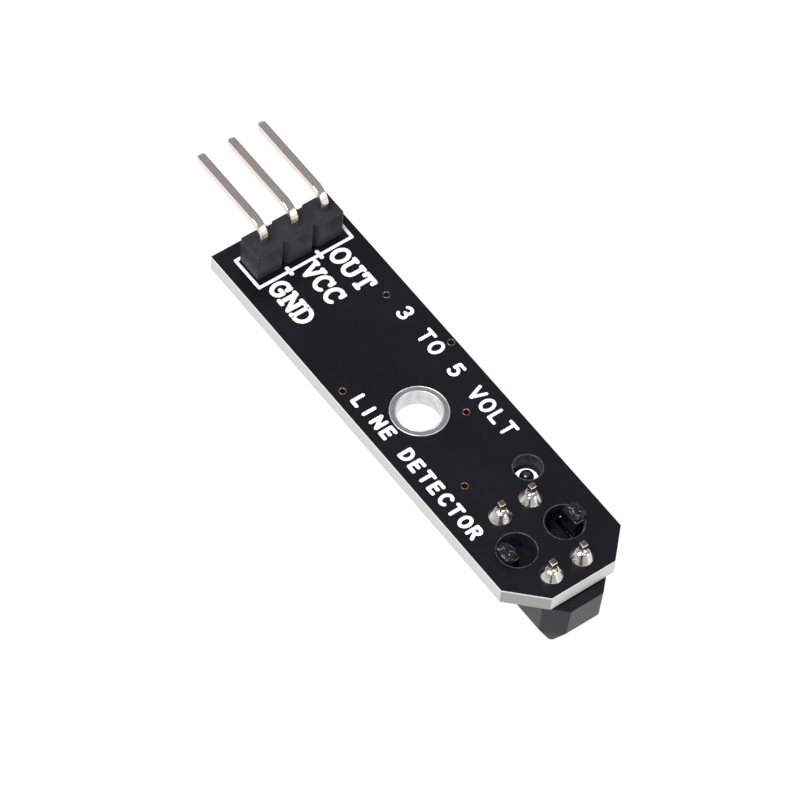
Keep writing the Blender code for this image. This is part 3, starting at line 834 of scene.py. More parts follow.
def board_corners():
    """The board's outline, counter-clockwise: a rectangle with two corners cut at 45 degrees."""
    low, high = tip_span()
    cut_low, cut_high = low - BOARD_LOW[1], BOARD_HIGH[1] - high
    return [
        (BOARD_LOW[0], BOARD_LOW[1]), (BOARD_HIGH[0] - cut_low, BOARD_LOW[1]),
        (BOARD_HIGH[0], low), (BOARD_HIGH[0], high),
        (BOARD_HIGH[0] - cut_high, BOARD_HIGH[1]), (BOARD_LOW[0], BOARD_HIGH[1]),
    ]


EYELET_SEAT = 0.4 * MM  # how far the fixing eyelet's ring covers the board
VIA_HOLE = 0.24 * MM  # radius of the hole that takes a via
RIM_DEPTH = 0.08 * MM  # how far a hole's rim reaches into the board
RIM_LIFT = 0.006 * MM  # how far it stands out of the mask
RIM_SKIN = 0.004 * MM  # how far it stands into the hole


def board_holes():
    """Every hole in the board as (x, y, radius, drilled or plated)."""
    board = sizes("track_board")
    holes = [(0.0, 0.0, half_size("fixing_hole_barrel")[0] - EYELET_SEAT, "plated")]
    wires = [f"header_joint_{name}" for name in PIN_NAMES] + [f"sensor_lead_{name}" for name in LEAD_NAMES]
    for nodes, radius in ((VIAS, VIA_HOLE), (wires, board.wire_hole / 2)):
        for node in nodes:
            x, y, _ = middle(node)
            holes.append((x, y, radius, "plated"))
    for side in (-1, 1):
        y = SENSOR_XY[1] + side * board.clip_spacing / 2
        holes.append((SENSOR_XY[0], y, board.clip_hole / 2, "drilled"))
    holes.append((*LAMP_XY, board.lamp_hole / 2, "drilled"))
    return holes


def flat_curve(name, outlines, thickness, edge):
    """A filled flat outline with holes, given its thickness and a rounded rim, as a mesh."""
    curve = bpy.data.curves.new(name, "CURVE")
    curve.dimensions = "2D"
    curve.fill_mode = "BOTH"
    curve.extrude = thickness / 2 - edge
    curve.bevel_depth = edge
    curve.bevel_resolution = 2
    curve.offset = -edge
    for outline in outlines:
        path = curve.splines.new("POLY")
        path.points.add(len(outline) - 1)
        spots = np.concatenate([outline, np.zeros((len(outline), 1)), np.ones((len(outline), 1))], 1)
        path.points.foreach_set("co", spots.ravel())
        path.use_cyclic_u = True
    obj = bpy.data.objects.new(name, curve)
    bpy.context.scene.collection.objects.link(obj)
    graph = bpy.context.evaluated_depsgraph_get()
    mesh = bpy.data.meshes.new_from_object(obj.evaluated_get(graph))
    bpy.data.objects.remove(obj)
    bpy.data.curves.remove(curve)
    bm = bmesh.new()
    bm.from_mesh(mesh)
    bmesh.ops.remove_doubles(bm, verts=bm.verts, dist=0.0005 * MM)
    bm.to_mesh(mesh)
    bm.free()
    return mesh


def circle(x, y, radius, steps=72):
    a = np.linspace(0, 2 * np.pi, steps, endpoint=False)
    return np.stack([x + radius * np.cos(a), y + radius * np.sin(a)], 1)


def dress_board(mesh):
    """Gives each face its finish: mask on the faces, pale laminate on the rim with painted shade by face
    direction, dark hole walls.
    """
    for finish in (solder_mask(), cut_laminate(), drilled_wall()):
        mesh.materials.append(finish)
    count = len(mesh.polygons)
    normals = np.zeros(count * 3)
    centres = np.zeros(count * 3)
    mesh.polygons.foreach_get("normal", normals)
    mesh.polygons.foreach_get("center", centres)
    normals, centres = normals.reshape(-1, 3), centres.reshape(-1, 3)
    upright = np.abs(normals[:, 2]) < 0.5
    kinds = np.where(upright, 1, 0)
    for x, y, radius, _ in board_holes():
        near = np.hypot(centres[:, 0] - x, centres[:, 1] - y) < radius + 0.1 * MM
        kinds[upright & near] = 2
    mesh.polygons.foreach_set("material_index", kinds)
    # Painted shade by face direction: cut corners take all of the darker tone, long sides a little, ends
    # none.
    slant = (np.abs(normals[:, 0]) > 0.5) & (np.abs(normals[:, 1]) > 0.5)
    side = np.abs(normals[:, 1]) > 0.9
    face_shade_share = np.where(slant, 1.0, np.where(side, 0.3, 0.0)).astype(np.float32)
    mesh.attributes.new("sheared", "FLOAT", "FACE").data.foreach_set("value", face_shade_share)


class TRACK_OT_board(bpy.types.Operator):
    """Make the bare board: laminate, mask, drilled holes and their rims"""

    bl_idname = "track.board"
    bl_label = "Board"

    def execute(self, context):
        board = context.scene.track_board
        outlines = [np.array(board_corners())]
        outlines += [circle(x, y, radius) for x, y, radius, _ in board_holes()]
        thickness = BOARD_HIGH[2] - BOARD_LOW[2]
        mesh = flat_curve("board_laminate", outlines, thickness, board.edge_round)
        spots = np.zeros(len(mesh.vertices) * 3)
        mesh.vertices.foreach_get("co", spots)
        spots[2::3] += (BOARD_LOW[2] + BOARD_HIGH[2]) / 2
        mesh.vertices.foreach_set("co", spots)
        obj = settle("board_laminate", mesh, ["circuit_board"], 15)
        obj.data.materials.clear()
        dress_board(obj.data)
        rims = []
        low, high = TOP_Z - RIM_DEPTH, TOP_Z + RIM_LIFT
        for x, y, radius, kind in board_holes():
            if kind == "drilled":
                inner, outer = radius - RIM_SKIN, radius + board.rim
                profile = rounded([(inner, low), (inner, high), (outer, high), (outer, low)], 0.03 * MM)
                # Drilled holes get a grey rim: bare resin, lightened as a painted highlight.
                rims.append((moved(turned(profile, 72, loop=True), x, y), bare_rim_and_highlight()))
        piece("hole_rims", rims)
        return {"FINISHED"}


EYELET_WIDTH = 0.475 * MM  # from the fixing hole's wall to its ring's rim
# The ring's flat face from its inner to its outer rim: distance from the wall, height, millimetres
EYELET_FACE = ((0, -0.06), (0.03, -0.03), (0.46, -0.03), (0.475, -0.06))
EYELET_BEADS = ((0.055 * MM - EYELET_WIDTH, 0.05 * MM), (-0.045 * MM, 0.045 * MM))  # from the rim; radius
SLEEVE = 0.04 * MM  # thickness of the plating in the fixing hole
# A via's rim: share of the ring's radius and height over the ring in millimetres
VIA_BEAD = ((0.66, -0.035), (0.74, 0), (0.92, 0), (1.0, -0.045))
VIA_BORE = 0.68  # a via's bore as a share of its ring
# A via's barrel, where mask ran in, from its lower end to its middle: share of the bore, height
VIA_RUN = ((1, 0.03 * MM), (0.6, 0.2 * MM))
VIA_WAIST = (0.3, 0.1 * MM)  # share of the bore at the middle, half its height


def via_barrel(outer, low, high):
    """A via's dark barrel between two heights: wide at its ends and narrow at its waist."""
    bore, back = outer * VIA_BORE, outer * VIA_BORE + 0.02 * MM
    waist, half = VIA_WAIST
    lower = [(bore * share_of, low + rise) for share_of, rise in VIA_RUN]
    upper = [(bore * share_of, high - rise) for share_of, rise in VIA_RUN]
    middle_z = TOP_Z / 2
    return turned([*lower, (bore * waist, middle_z - half), (bore * waist, middle_z + half),
                   *upper[::-1], (back, high - 0.05 * MM), (back, low + 0.05 * MM)], 40, loop=True)


class TRACK_OT_plating(bpy.types.Operator):
    """Make the plated fixing hole and the vias"""

    bl_idname = "track.plating"
    bl_label = "Plated holes"

    def execute(self, context):
        low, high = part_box("fixing_hole_barrel")
        ring = half_size("fixing_hole_barrel")[0]
        wall = ring - EYELET_WIDTH
        top = np.array(EYELET_FACE) * MM + (wall, high.z)
        under = top[::-1] * (1, -1) + (0, low.z + high.z)
        sleeve = [(wall + SLEEVE, TOP_Z - SLEEVE), (wall + SLEEVE, SLEEVE)]
        profile = rounded([*top, *sleeve, *under], 0.01 * MM, 3)
        parts = [(turned(profile, 96, loop=True), plated_ring())]
        a = np.linspace(0, 2 * np.pi, 12, endpoint=False)
        # The rounded rims take the lighter tin: a painted sheen.
        for inset, tube in EYELET_BEADS:
            for level in (high.z - tube, low.z + tube):
                bead = np.stack([ring + inset + tube * np.cos(a), level + tube * np.sin(a)], 1)
                parts.append((turned(bead, 96, loop=True), rim_scuff_and_painted_sheen()))
        piece("fixing_eyelet", parts, ["fixing_hole_barrel"])
        for number, node in enumerate(VIAS, 1):
            low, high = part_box(node)
            x, y, _ = middle(node)
            outer = half_size(node)[0]
            rings = []
            for rim_z, sign in ((high.z, 1), (low.z, -1)):
                bead = [(outer * share_of, rim_z + sign * rise * MM) for share_of, rise in VIA_BEAD]
                rings.append(turned(rounded(bead, 0.008 * MM, 3), 40, loop=True))
            parts = [(moved(rim, x, y), masked_copper()) for rim in rings]
            parts.append((moved(via_barrel(outer, low.z, high.z), x, y), via_wall()))
            piece(f"via_eyelet_{number}", parts, [node])
        return {"FINISHED"}


# Print on top, in millimetres from the fixing hole: the frame round the header, and each pin
# label with the middle of its line and the distance between its letters.
HEADER_FRAME = [(-17.25, -2.95), (-14.45, -2.95), (-14.45, 4.9), (-17.25, 4.95)]
PIN_LABELS = (("GND", -1.82, 1.4), ("VCC", 0.92, 1.25), ("OUT", 3.28, 1.37))
LABEL_X = -14.2 * MM


class TRACK_OT_legend(bpy.types.Operator):
    """Print the header's frame, the pin labels and two plain lines of print"""

    bl_idname = "track.legend"
    bl_label = "Legend"

    def execute(self, context):
        board = context.scene.track_board
        ink = legend_ink()
        high = board.ink_height
        parts = ruled(HEADER_FRAME + HEADER_FRAME[:1], board.frame_line, high, TOP_Z)
        for y in (-0.4, 2.14):
            parts += ruled([(-14.75, y), (-14.2, y)], board.frame_line * 1.3, high, TOP_Z)
        piece("legend_frame", [(part, ink) for part in parts])
        labels = []
        for text, y, pitch in PIN_LABELS:
            labels += print_line(text, LABEL_X, y * MM, board.label_height, pitch * MM,
                                 board.label_line, high, slab=True)
        piece("legend_labels", [(moved(part, z=TOP_Z), ink) for part in labels])
        lines = print_line("3 TO 5 VOLT", -7.6 * MM, 4.1 * MM, board.text_height * 1.1, 1.16 * MM,
                           board.text_line, high)
        lines += print_line("LINE DETECTOR", -3.4 * MM, -2.82 * MM, board.text_height, 1.08 * MM,
                            board.text_line * 1.1, high)
        piece("legend_lines", [(moved(part, z=TOP_Z), ink) for part in lines])
        return {"FINISHED"}


# ---------------------------------------------------------------- the header


def header_outline():
    """The moulding from above: three blocks with a V notch on both sides between neighbours."""
    header = sizes("track_header")
    half_x, half_y, _ = half_size("header_housing")
    depth, half = header.notch_depth, header.notch_width / 2
    right = [(half_x, -half_y)]
    for row in (-0.5, 0.5):
        y = row * header.pitch
        right += [(half_x, y - half), (half_x - depth, y), (half_x, y + half)]
    right += [(half_x, half_y)]
    left = [(-x, -y) for x, y in right]
    corner, notch = 0.14 * MM, 0.06 * MM
    return rounded(right + left, ([corner] + [notch] * 6 + [corner]) * 2, 3)


class TRACK_OT_header(bpy.types.Operator):
    """Mould the header's body"""

    bl_idname = "track.header"
    bl_label = "Header body"

    def execute(self, context):
        header = context.scene.track_header
        low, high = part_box("header_housing")
        centre = middle("header_housing")
        body = block(header_outline(), low.z, high.z, header.edge_round)
        piece("header_moulding", [(moved(body, centre[0], centre[1]), header_plastic())],
              ["header_housing"])
        return {"FINISHED"}


PIN_MIDWAY_X = -20 * MM  # a point halfway along a pin's level run
PIN_DROP_Z = 2.0 * MM  # a point halfway down it
PIN_TAIL_TIP = 0.15 * MM  # length of its drawn-in tail


def pin_path(name):
    """A pin's axis: from its tip, level to the bend, a quarter circle, and down to its tail."""
    header = sizes("track_header")
    low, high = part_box(f"header_pin_{name}")
    y = (low.y + high.y) / 2
    level = high.z - header.pin_width / 2
    bend = header.pin_bend
    a = np.linspace(np.pi / 2, 0, 30)
    arc = np.stack([HEADER_X - bend * (1 - np.cos(a)), level - bend * (1 - np.sin(a))], 1)
    reach = low.x + header.pin_tip
    level_run = [(low.x, level), (low.x + header.pin_tip * 0.5, level), (reach, level),
                 (reach + 0.02 * MM, level), (PIN_MIDWAY_X, level)]
    drop = [(HEADER_X, PIN_DROP_Z), (HEADER_X, low.z + PIN_TAIL_TIP), (HEADER_X, low.z)]
    flat = np.concatenate([level_run, arc, drop])
    return np.stack([flat[:, 0], np.full(len(flat), y), flat[:, 1]], 1)


class TRACK_OT_pins(bpy.types.Operator):
    """Bend the three header pins"""

    bl_idname = "track.pins"
    bl_label = "Header pins"

    def execute(self, context):
        header = context.scene.track_header
        half = header.pin_width / 2
        section = oblong(half, half, header.pin_corner, 3)
        for name in PIN_NAMES:
            path = pin_path(name)
            scale = np.ones(len(path))
            scale[:3] = (0.55, 0.82, 1.0)
            scale[-1] = 0.8
            piece(f"pin_{name}", [(swept(path, (0, 1, 0), section, scale), tin_plate())],
                  [f"header_pin_{name}"])
        return {"FINISHED"}


# ---------------------------------------------------------------- solder and leads


def solder_cone(radius, height, neck, phase):
    """A wetted joint: a low, nearly straight cone that closes on the lead, drawn out of round.

    The radius is scaled by 1 + 0.05 sin(2a + p) + 0.03 sin(3a + 2p) + 0.015 sin(7a + 3p), where
    the solder froze in flutes; all three fade out at the pad."""
    profile = rounded([(radius, 0), (radius * 0.98, 0.07 * MM), (neck * 1.3, height * 0.95),
                       (neck * 0.7, height * 1.1)],
                      np.array([0, 0.05, 0.08, 0]) * MM, closed=False)

    def wobble(a, z):
        fade = np.clip(z / (0.35 * height), 0, 1)
        return 1 + fade * (0.05 * np.sin(2 * a + phase) + 0.03 * np.sin(3 * a + 2 * phase)
                           + 0.015 * np.sin(7 * a + 3 * phase))

    return turned(profile, 96, wobble=wobble)


def solder_bead(radius, height):
    """A small bead: an upright half ellipse turned round Z."""
    a = np.radians(np.linspace(-85, 85, 12))
    return turned(np.stack([radius * np.cos(a), height / 2 * np.sin(a)], 1), 20)


# Beads where a lead leaves its solder: angle round the lead, radius, depth below the cone's top
BEADS = ((0, 0.17, 0.04), (1.3, 0.13, 0.12), (2.9, 0.15, 0.08), (4.1, 0.1, 0.02))
BEAD_REACH = 0.27 * MM  # from the lead's axis to a bead's


class TRACK_OT_solder(bpy.types.Operator):
    """Solder the header pins under the board and the sensor leads on top"""

    bl_idname = "track.solder"
    bl_label = "Solder joints"

    def execute(self, context):
        solder = context.scene.track_solder
        header = context.scene.track_header
        for number, name in enumerate(PIN_NAMES):
            x, y, _ = middle(f"header_joint_{name}")
            low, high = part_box(f"header_joint_{name}")
            points, faces = solder_cone(solder.pad_radius, high.z - low.z, header.pin_width * 0.66,
                                        number + 0.4)
            hanging = moved((points * np.array([1, -1, -1]), faces), x, y, high.z)
            piece(f"pin_solder_{name}", [(hanging, tin_solder())], [f"header_joint_{name}"])
        for number, name in enumerate(LEAD_NAMES):
            x, y, _ = middle(f"sensor_joint_{name}")
            low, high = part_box(f"sensor_joint_{name}")
            rise = high.z - low.z
            phase = 1.7 * number + 0.9
            cone = solder_cone(solder.pad_radius, rise, solder.lead_width * 0.72, phase)
            parts = [(moved(cone, x, y, low.z), tin_solder())]
            for turn, size, drop in BEADS:
                a = phase * 2 + turn
                bead = solder_bead(size * MM, 2.2 * size * MM)
                parts.append((moved(bead, x + BEAD_REACH * math.cos(a), y + BEAD_REACH * math.sin(a),
                                    low.z + rise - drop * MM), tin_solder()))
            piece(f"lead_solder_{name}", parts, [f"sensor_joint_{name}"])
        return {"FINISHED"}


class TRACK_OT_leads(bpy.types.Operator):
    """Stand the four sensor leads in the board, cut off above their solder"""

    bl_idname = "track.leads"
    bl_label = "Sensor leads"

    def execute(self, context):
        half = context.scene.track_solder.lead_width / 2
        section = oblong(half, half, 0.07 * MM, 3)
        for name in LEAD_NAMES:
            node = f"sensor_lead_{name}"
            low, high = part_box(node)
            x, y, _ = middle(node)
            shaft = block(section, low.z, high.z - 0.02 * MM, 0.04 * MM)
            end = block(oblong(half * 0.86, half * 0.8, 0.06 * MM, 3), high.z - 0.1 * MM, high.z, 0.02 * MM)
            piece(f"lead_{name}", [(moved(shaft, x, y), tin_plate()), (moved(end, x, y), cut_wire())],
                  [node])
        return {"FINISHED"}


# ---------------------------------------------------------------- the sensor


def case_ring(half_x, half_y, corner, z, edge):
    """An oblong with its corners cut at 45 degrees and their edges rounded, at height z."""
    x, y = half_x - corner, half_y - corner
    corners = [(half_x, -y), (half_x, y), (x, half_y), (-x, half_y),
               (-half_x, y), (-half_x, -y), (-x, -half_y), (x, -half_y)]
    flat = rounded(corners, edge, 3)
    return np.concatenate([flat, np.full((len(flat), 1), z)], 1)


CASE_SHARP = 30  # degrees beyond which an edge of the case is shaded sharp
CASE_LEAN = 0.09 * math.sqrt(2) * MM  # how far a cut corner's wall leans in
CASE_LIP = 0.3 * MM  # width of the flat band inside the case's rims
CELL = (1.85 * MM, 1.7 * MM, 2.3 * MM)  # half length, half width and depth of a diode's cell
WINDOW_FLARE = (0.22 * MM, 0.12 * MM)  # how far a window's mouth widens, and over what depth
WINDOW_TOP = -1.9 * MM  # height at which a window has opened into its cell
ABOVE = 1 * MM  # clear of the board, for a cut that has to reach through


def case_levels():
    """The case's half length, half width, corner cut and height, from its lens face to its rim."""
    sensor = sizes("track_sensor")
    low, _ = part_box("sensor_housing")
    half_x, half_y = half_size("sensor_housing")[0], sensor.case_width / 2
    rim_z = -UNDER_GAP
    corner = sensor.case_corner
    wall_cut = corner + CASE_LEAN - sensor.end_taper
    face_cut = corner + CASE_LEAN * 1.35 - sensor.end_taper - sensor.end_bevel - sensor.side_bevel
    wall_x = half_x - sensor.end_taper
    face_x, face_y = wall_x - sensor.end_bevel, half_y - sensor.side_bevel
    return [
        (face_x - CASE_LIP, face_y - CASE_LIP, face_cut, low.z),
        (face_x, face_y, face_cut, low.z),
        (wall_x, half_y, wall_cut, -sensor.wall_depth),
        (half_x, half_y, corner, rim_z),
        (half_x - CASE_LIP, half_y - CASE_LIP, corner, rim_z),
    ]


def clip_reach():
    """A clip arm's outer and inner faces and its foot's root, measured from the sensor's centre."""
    sensor, board = sizes("track_sensor"), sizes("track_board")
    radius = board.clip_hole / 2
    chord = math.sqrt(radius ** 2 - (sensor.clip_width / 2) ** 2)
    outer = board.clip_spacing / 2 + chord - 2 * UNDER_GAP
    inner = outer - sensor.clip_thickness
    return outer, inner, min(inner, sensor.case_width / 2) - 0.2 * MM


CLIP_OVERLAP = 0.3 * MM  # how far a clip's arm runs up into its head
CLIP_SETTLED = 0.12 * MM  # how far the head's skin sank below its plain solid


def clip_outline(head_high):
    """A clip arm from the side: a foot on the case's wall and an upright arm."""
    depth = sizes("track_sensor").foot_depth
    outer, inner, root = clip_reach()
    corners = [(root, -depth), (outer, -depth), (outer, head_high), (inner, head_high),
               (inner, -UNDER_GAP), (root, -UNDER_GAP)]
    radii = np.array([0.13, 0.13, 0.13, 0.13, 0.03, 0.1]) * MM
    return rounded(corners, radii, 5)


def lump(half_x, half_y, half_z, phase, square=0.6):
    """A sunken superellipsoid: x = a C(u) C(v), y = b S(u) C(v), z = c S(v), where C and S are
    cosine and sine with their size raised to the power square, so that 1 is an ellipsoid, 0 a box.

    It shrinks by 0.09 (1 + sin(5u + 4v + p) cos(3u - 5v)) where the moulding sank as it cooled."""
    v = np.radians(np.linspace(-86, 86, 41))[:, None]
    u = np.linspace(0, 2 * np.pi, 96, endpoint=False)[None, :]
    sunk = 1 - 0.09 * (1 + np.sin(5 * u + 4 * v + phase) * np.cos(3 * u - 5 * v))
    half_x, half_y, half_z = half_x * sunk, half_y * sunk, half_z * sunk

    def eased(value):
        return np.sign(value) * np.abs(value) ** square

    return skin(np.stack([half_x * eased(np.cos(u)) * eased(np.cos(v)),
                          half_y * eased(np.sin(u)) * eased(np.cos(v)),
                          half_z * eased(np.sin(v)) + 0 * u], -1))


class TRACK_OT_case(bpy.types.Operator):
    """Mould the sensor's case with its windows, cells and clips"""

    bl_idname = "track.case"
    bl_label = "Sensor case"

    def execute(self, context):
        sensor = context.scene.track_sensor
        x, y = SENSOR_XY
        edge = sensor.edge_round
        levels = rounded(case_levels(), [0, edge, edge * 1.5, edge * 0.5, 0], 4, closed=False)
        rings = np.stack([case_ring(hx, hy, cut, z, edge) for hx, hy, cut, z in levels])
        obj = piece("sensor_case", [(moved(skin(rings), x, y), sensor_plastic())],
                    ["sensor_housing"], CASE_SHARP)
        low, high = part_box("sensor_housing")
        tools = []
        for side in (-1, 1):
            cx = x + side * sensor.window_spacing / 2
            cell = block(oblong(CELL[0], CELL[1], 0.2 * MM), -CELL[2], ABOVE, 0.02 * MM)
            radius = sensor.window / 2
            wide, deep = WINDOW_FLARE
            mouth = [(radius + wide, low.z - 0.1 * MM), (radius, low.z + deep), (radius, WINDOW_TOP)]
            tools += [moved(cell, cx, y), moved(turned(mouth, 64), cx, y)]
        cut_away(obj, tools, CASE_SHARP)
        arms = []
        outer, inner, root = clip_reach()
        tip = outer + sensor.clip_hook
        rest, crown = TOP_Z + 2 * UNDER_GAP, high.z - CLIP_SETTLED
        half = sensor.clip_width / 2
        for side in (-1, 1):
            arm = block(clip_outline(rest + CLIP_OVERLAP), -half, half, 0.09 * MM)
            arms.append((moved(stood_up(arm, side), x, y), polished_clip()))
            head = lump(half, (tip - inner) / 2, (crown - rest) / 2, side)
            arms.append((moved(head, x, y + side * (tip + inner) / 2, (crown + rest) / 2),
                         polished_clip()))
            foot = block(oblong(sensor.foot_width / 2, (outer - root) / 2, 0.1 * MM),
                         -sensor.foot_depth, -UNDER_GAP, 0.05 * MM)
            arms.append((moved(foot, x, y + side * (outer + root) / 2), sensor_plastic()))
        piece("sensor_clips", arms)
        return {"FINISHED"}


class TRACK_OT_diodes(bpy.types.Operator):
    """Cast the emitter and the detector with their domes"""

    bl_idname = "track.diodes"
    bl_label = "Emitter and detector"

    def execute(self, context):
        sensor = context.scene.track_sensor
        radius = sensor.window / 2 - 0.1 * MM
        for node, finish, slot in (("infrared_emitter", emitter_epoxy(), "blue_epoxy"),
                                   ("infrared_detector", detector_epoxy(), "black_epoxy")):
            low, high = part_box(node)
            x, y, _ = middle(node)
            seat = 0.1 * MM - CELL[2]
            body = block(oblong(*half_size(node)[:2], 0.15 * MM), seat, high.z, 0.08 * MM)
            a = np.radians(np.linspace(88, -25, 20))
            dome = turned(np.stack([radius * np.cos(a), seat - (seat - low.z) * np.sin(a)], 1), 48)
            piece(node.replace("infrared_", "") + "_block",
                  [(moved(body, x, y), finish), (moved(dome, x, y), finish)], [node])
        return {"FINISHED"}


LAMP_TURN = math.pi / 4  # the lamp lies along the housing's cut corner
LAMP_BODY = (1.35 * MM, 0.55 * MM)  # half length and half width of its carrier
LAMP_END = (0.24 * MM, 0.56 * MM, 1.12 * MM)  # half length, half width and place of a metal end
COLLAR_GAP = 0.18 * MM  # pale collar to the wall of the hole
COLLAR_TOP = 0.02 * MM  # height of the collar's face over the board's underside
DOME_RADIUS = 0.52 * MM
DOME_TOP = 0.72 * MM
WEB_THICKNESS = 0.03 * MM  # dark web between the collar and the wall of the hole


class TRACK_OT_lamp(bpy.types.Operator):
    """Place the lamp that shines up through the board"""

    bl_idname = "track.lamp"
    bl_label = "Indicator lamp"

    def execute(self, context):
        x, y = LAMP_XY
        low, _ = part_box("indicator_lamp")
        hole = context.scene.track_board.lamp_hole / 2
        collar_radius = hole - COLLAR_GAP
        carrier = block(oblong(*LAMP_BODY, 0.05 * MM), low.z, -UNDER_GAP, 0.04 * MM)
        collar = turned(rounded([(collar_radius, -UNDER_GAP), (collar_radius, COLLAR_TOP),
                                 (0.3 * MM, COLLAR_TOP)], [0, 0.02 * MM, 0], closed=False), 64)
        # Carrier and collar share the painted glow of the carrier's finish.
        parts = [(moved(carrier, x, y, turn=LAMP_TURN), lamp_carrier()),
                 (moved(collar, x, y), lamp_carrier())]
        for side in (-1, 1):
            end = block(oblong(*LAMP_END[:2], 0.05 * MM), low.z, -UNDER_GAP / 2, 0.03 * MM)
            parts.append((moved(moved(end, x=side * LAMP_END[2]), x, y, turn=LAMP_TURN), tin_plate()))
        piece("lamp_carrier", parts, ["indicator_lamp"])
        inner, outer = collar_radius - 0.01 * MM, hole + 0.05 * MM
        web = rounded([(inner, 0), (outer, 0), (outer, WEB_THICKNESS), (inner, WEB_THICKNESS)],
                      0.01 * MM, 2)
        piece("lamp_hole_web", [(moved(turned(web, 72, loop=True), x, y), drilled_wall())])
        a = np.radians(np.linspace(0, 87, 16))
        cap = np.stack([DOME_RADIUS * np.cos(a), DOME_TOP - DOME_RADIUS * (1 - np.sin(a))], 1)
        dome = np.concatenate([[(DOME_RADIUS, 0.0)], cap])
        piece("lamp_dome", [(moved(turned(dome, 40), x, y), lamp_lens())])
        return {"FINISHED"}


# ---------------------------------------------------------------- the underside


CASE_DRAFT = 0.12 * MM  # how far the comparator's case narrows from its middle to each face
PIN_MARK = (0.3 * MM, 0.8 * MM)  # radius of its mark and distance from both edges
LEG_RUN = 0.73 * MM  # from a leg's knee to its toe
LEG_SLOPE = 0.18 * MM  # how far it leans outwards on the way down


class TRACK_OT_comparator(bpy.types.Operator):
    """Make the comparator with its eight gull-wing legs"""

    bl_idname = "track.comparator"
    bl_label = "Comparator"

    def execute(self, context):
        chips = context.scene.track_chips
        low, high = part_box("comparator_body")
        x, y, mid_z = middle("comparator_body")
        half_x, half_y, _ = half_size("comparator_body")
        lip = CASE_DRAFT + 0.1 * MM
        profile = rounded([(lip, low.z), (CASE_DRAFT, low.z), (0, mid_z), (CASE_DRAFT, high.z),
                           (lip, high.z)], [0, 0.08 * MM, 0.02 * MM, 0.08 * MM, 0], 3, closed=False)
        outline = oblong(half_x, half_y, 0.26 * MM, 3)
        rings = [np.concatenate([drawn_in(outline, inset), np.full((len(outline), 1), z)], 1)
                 for inset, z in profile]
        radius, inset = PIN_MARK
        dot = turned([(radius, low.z - RIM_SKIN), (radius, low.z + 0.02 * MM)], 32)
        piece("comparator_case", [(moved(skin(np.stack(rings)), x, y), moulding_compound()),
                                  (moved(dot, x - half_x + inset, y - half_y + inset), chip_dot())],
              ["comparator_body"])
        section = oblong(chips.leg_width / 2, chips.leg_thickness / 2, 0.03 * MM, 2)
        for number in range(1, 9):
            node = f"comparator_leg_{number}"
            low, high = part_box(node)
            leg_x = (low.x + high.x) / 2
            side = -1 if high.y < y else 1
            inner = half_y - 0.1 * MM
            outer = max(abs(low.y - y), abs(high.y - y))
            foot_z = high.z - chips.leg_thickness / 2
            knee = outer - LEG_RUN
            path = rounded([(inner, mid_z), (knee, mid_z), (knee + LEG_SLOPE, foot_z), (outer, foot_z)],
                           [0, 0.12 * MM, 0.12 * MM, 0], 4, closed=False)
            points = np.stack([np.full(len(path), leg_x), y + side * path[:, 0], path[:, 1]], 1)
            piece(f"comparator_foot_{number}", [(swept(points, (1, 0, 0), section), tin_plate())],
                  [node])
        return {"FINISHED"}


def solder_ramp(width, reach, rise):
    """A solder fillet: a hollow ramp from the board up to a part's end, as wide as its pad.

    Its section is a quarter of a hollow curve from (reach, 0) to (0, rise)."""
    t = np.linspace(0, np.pi / 2, 7)
    curve = np.stack([reach * (1 - np.sin(t)), rise * (1 - np.cos(t))], 1)
    outline = np.concatenate([[(-0.05 * MM, 0)], curve, [(-0.05 * MM, rise)]])
    return stood_up(block(outline, -width / 2, width / 2, 0.01 * MM, 2))


CHIP_INSET = 0.02 * MM  # a chip's body inside its metal ends
CHIP_SOLDER = (0.26 * MM, 0.62)  # reach of a chip's fillet, and its rise as a share of the chip
LEG_SOLDER = (0.5 * MM, 0.25 * MM, 0.12 * MM)  # width, reach and rise of a leg's fillet
SOLDER_SINK = -0.005 * MM  # where a fillet starts, just below the board


def fillet(x, y, side, width, reach, rise):
    """A fillet under the board at (x, y) that falls away towards side, with its finish."""
    points, faces = solder_ramp(width, reach, rise)
    return moved((points * np.array([1, side, -1]), faces), x, y, SOLDER_SINK), tin_solder()


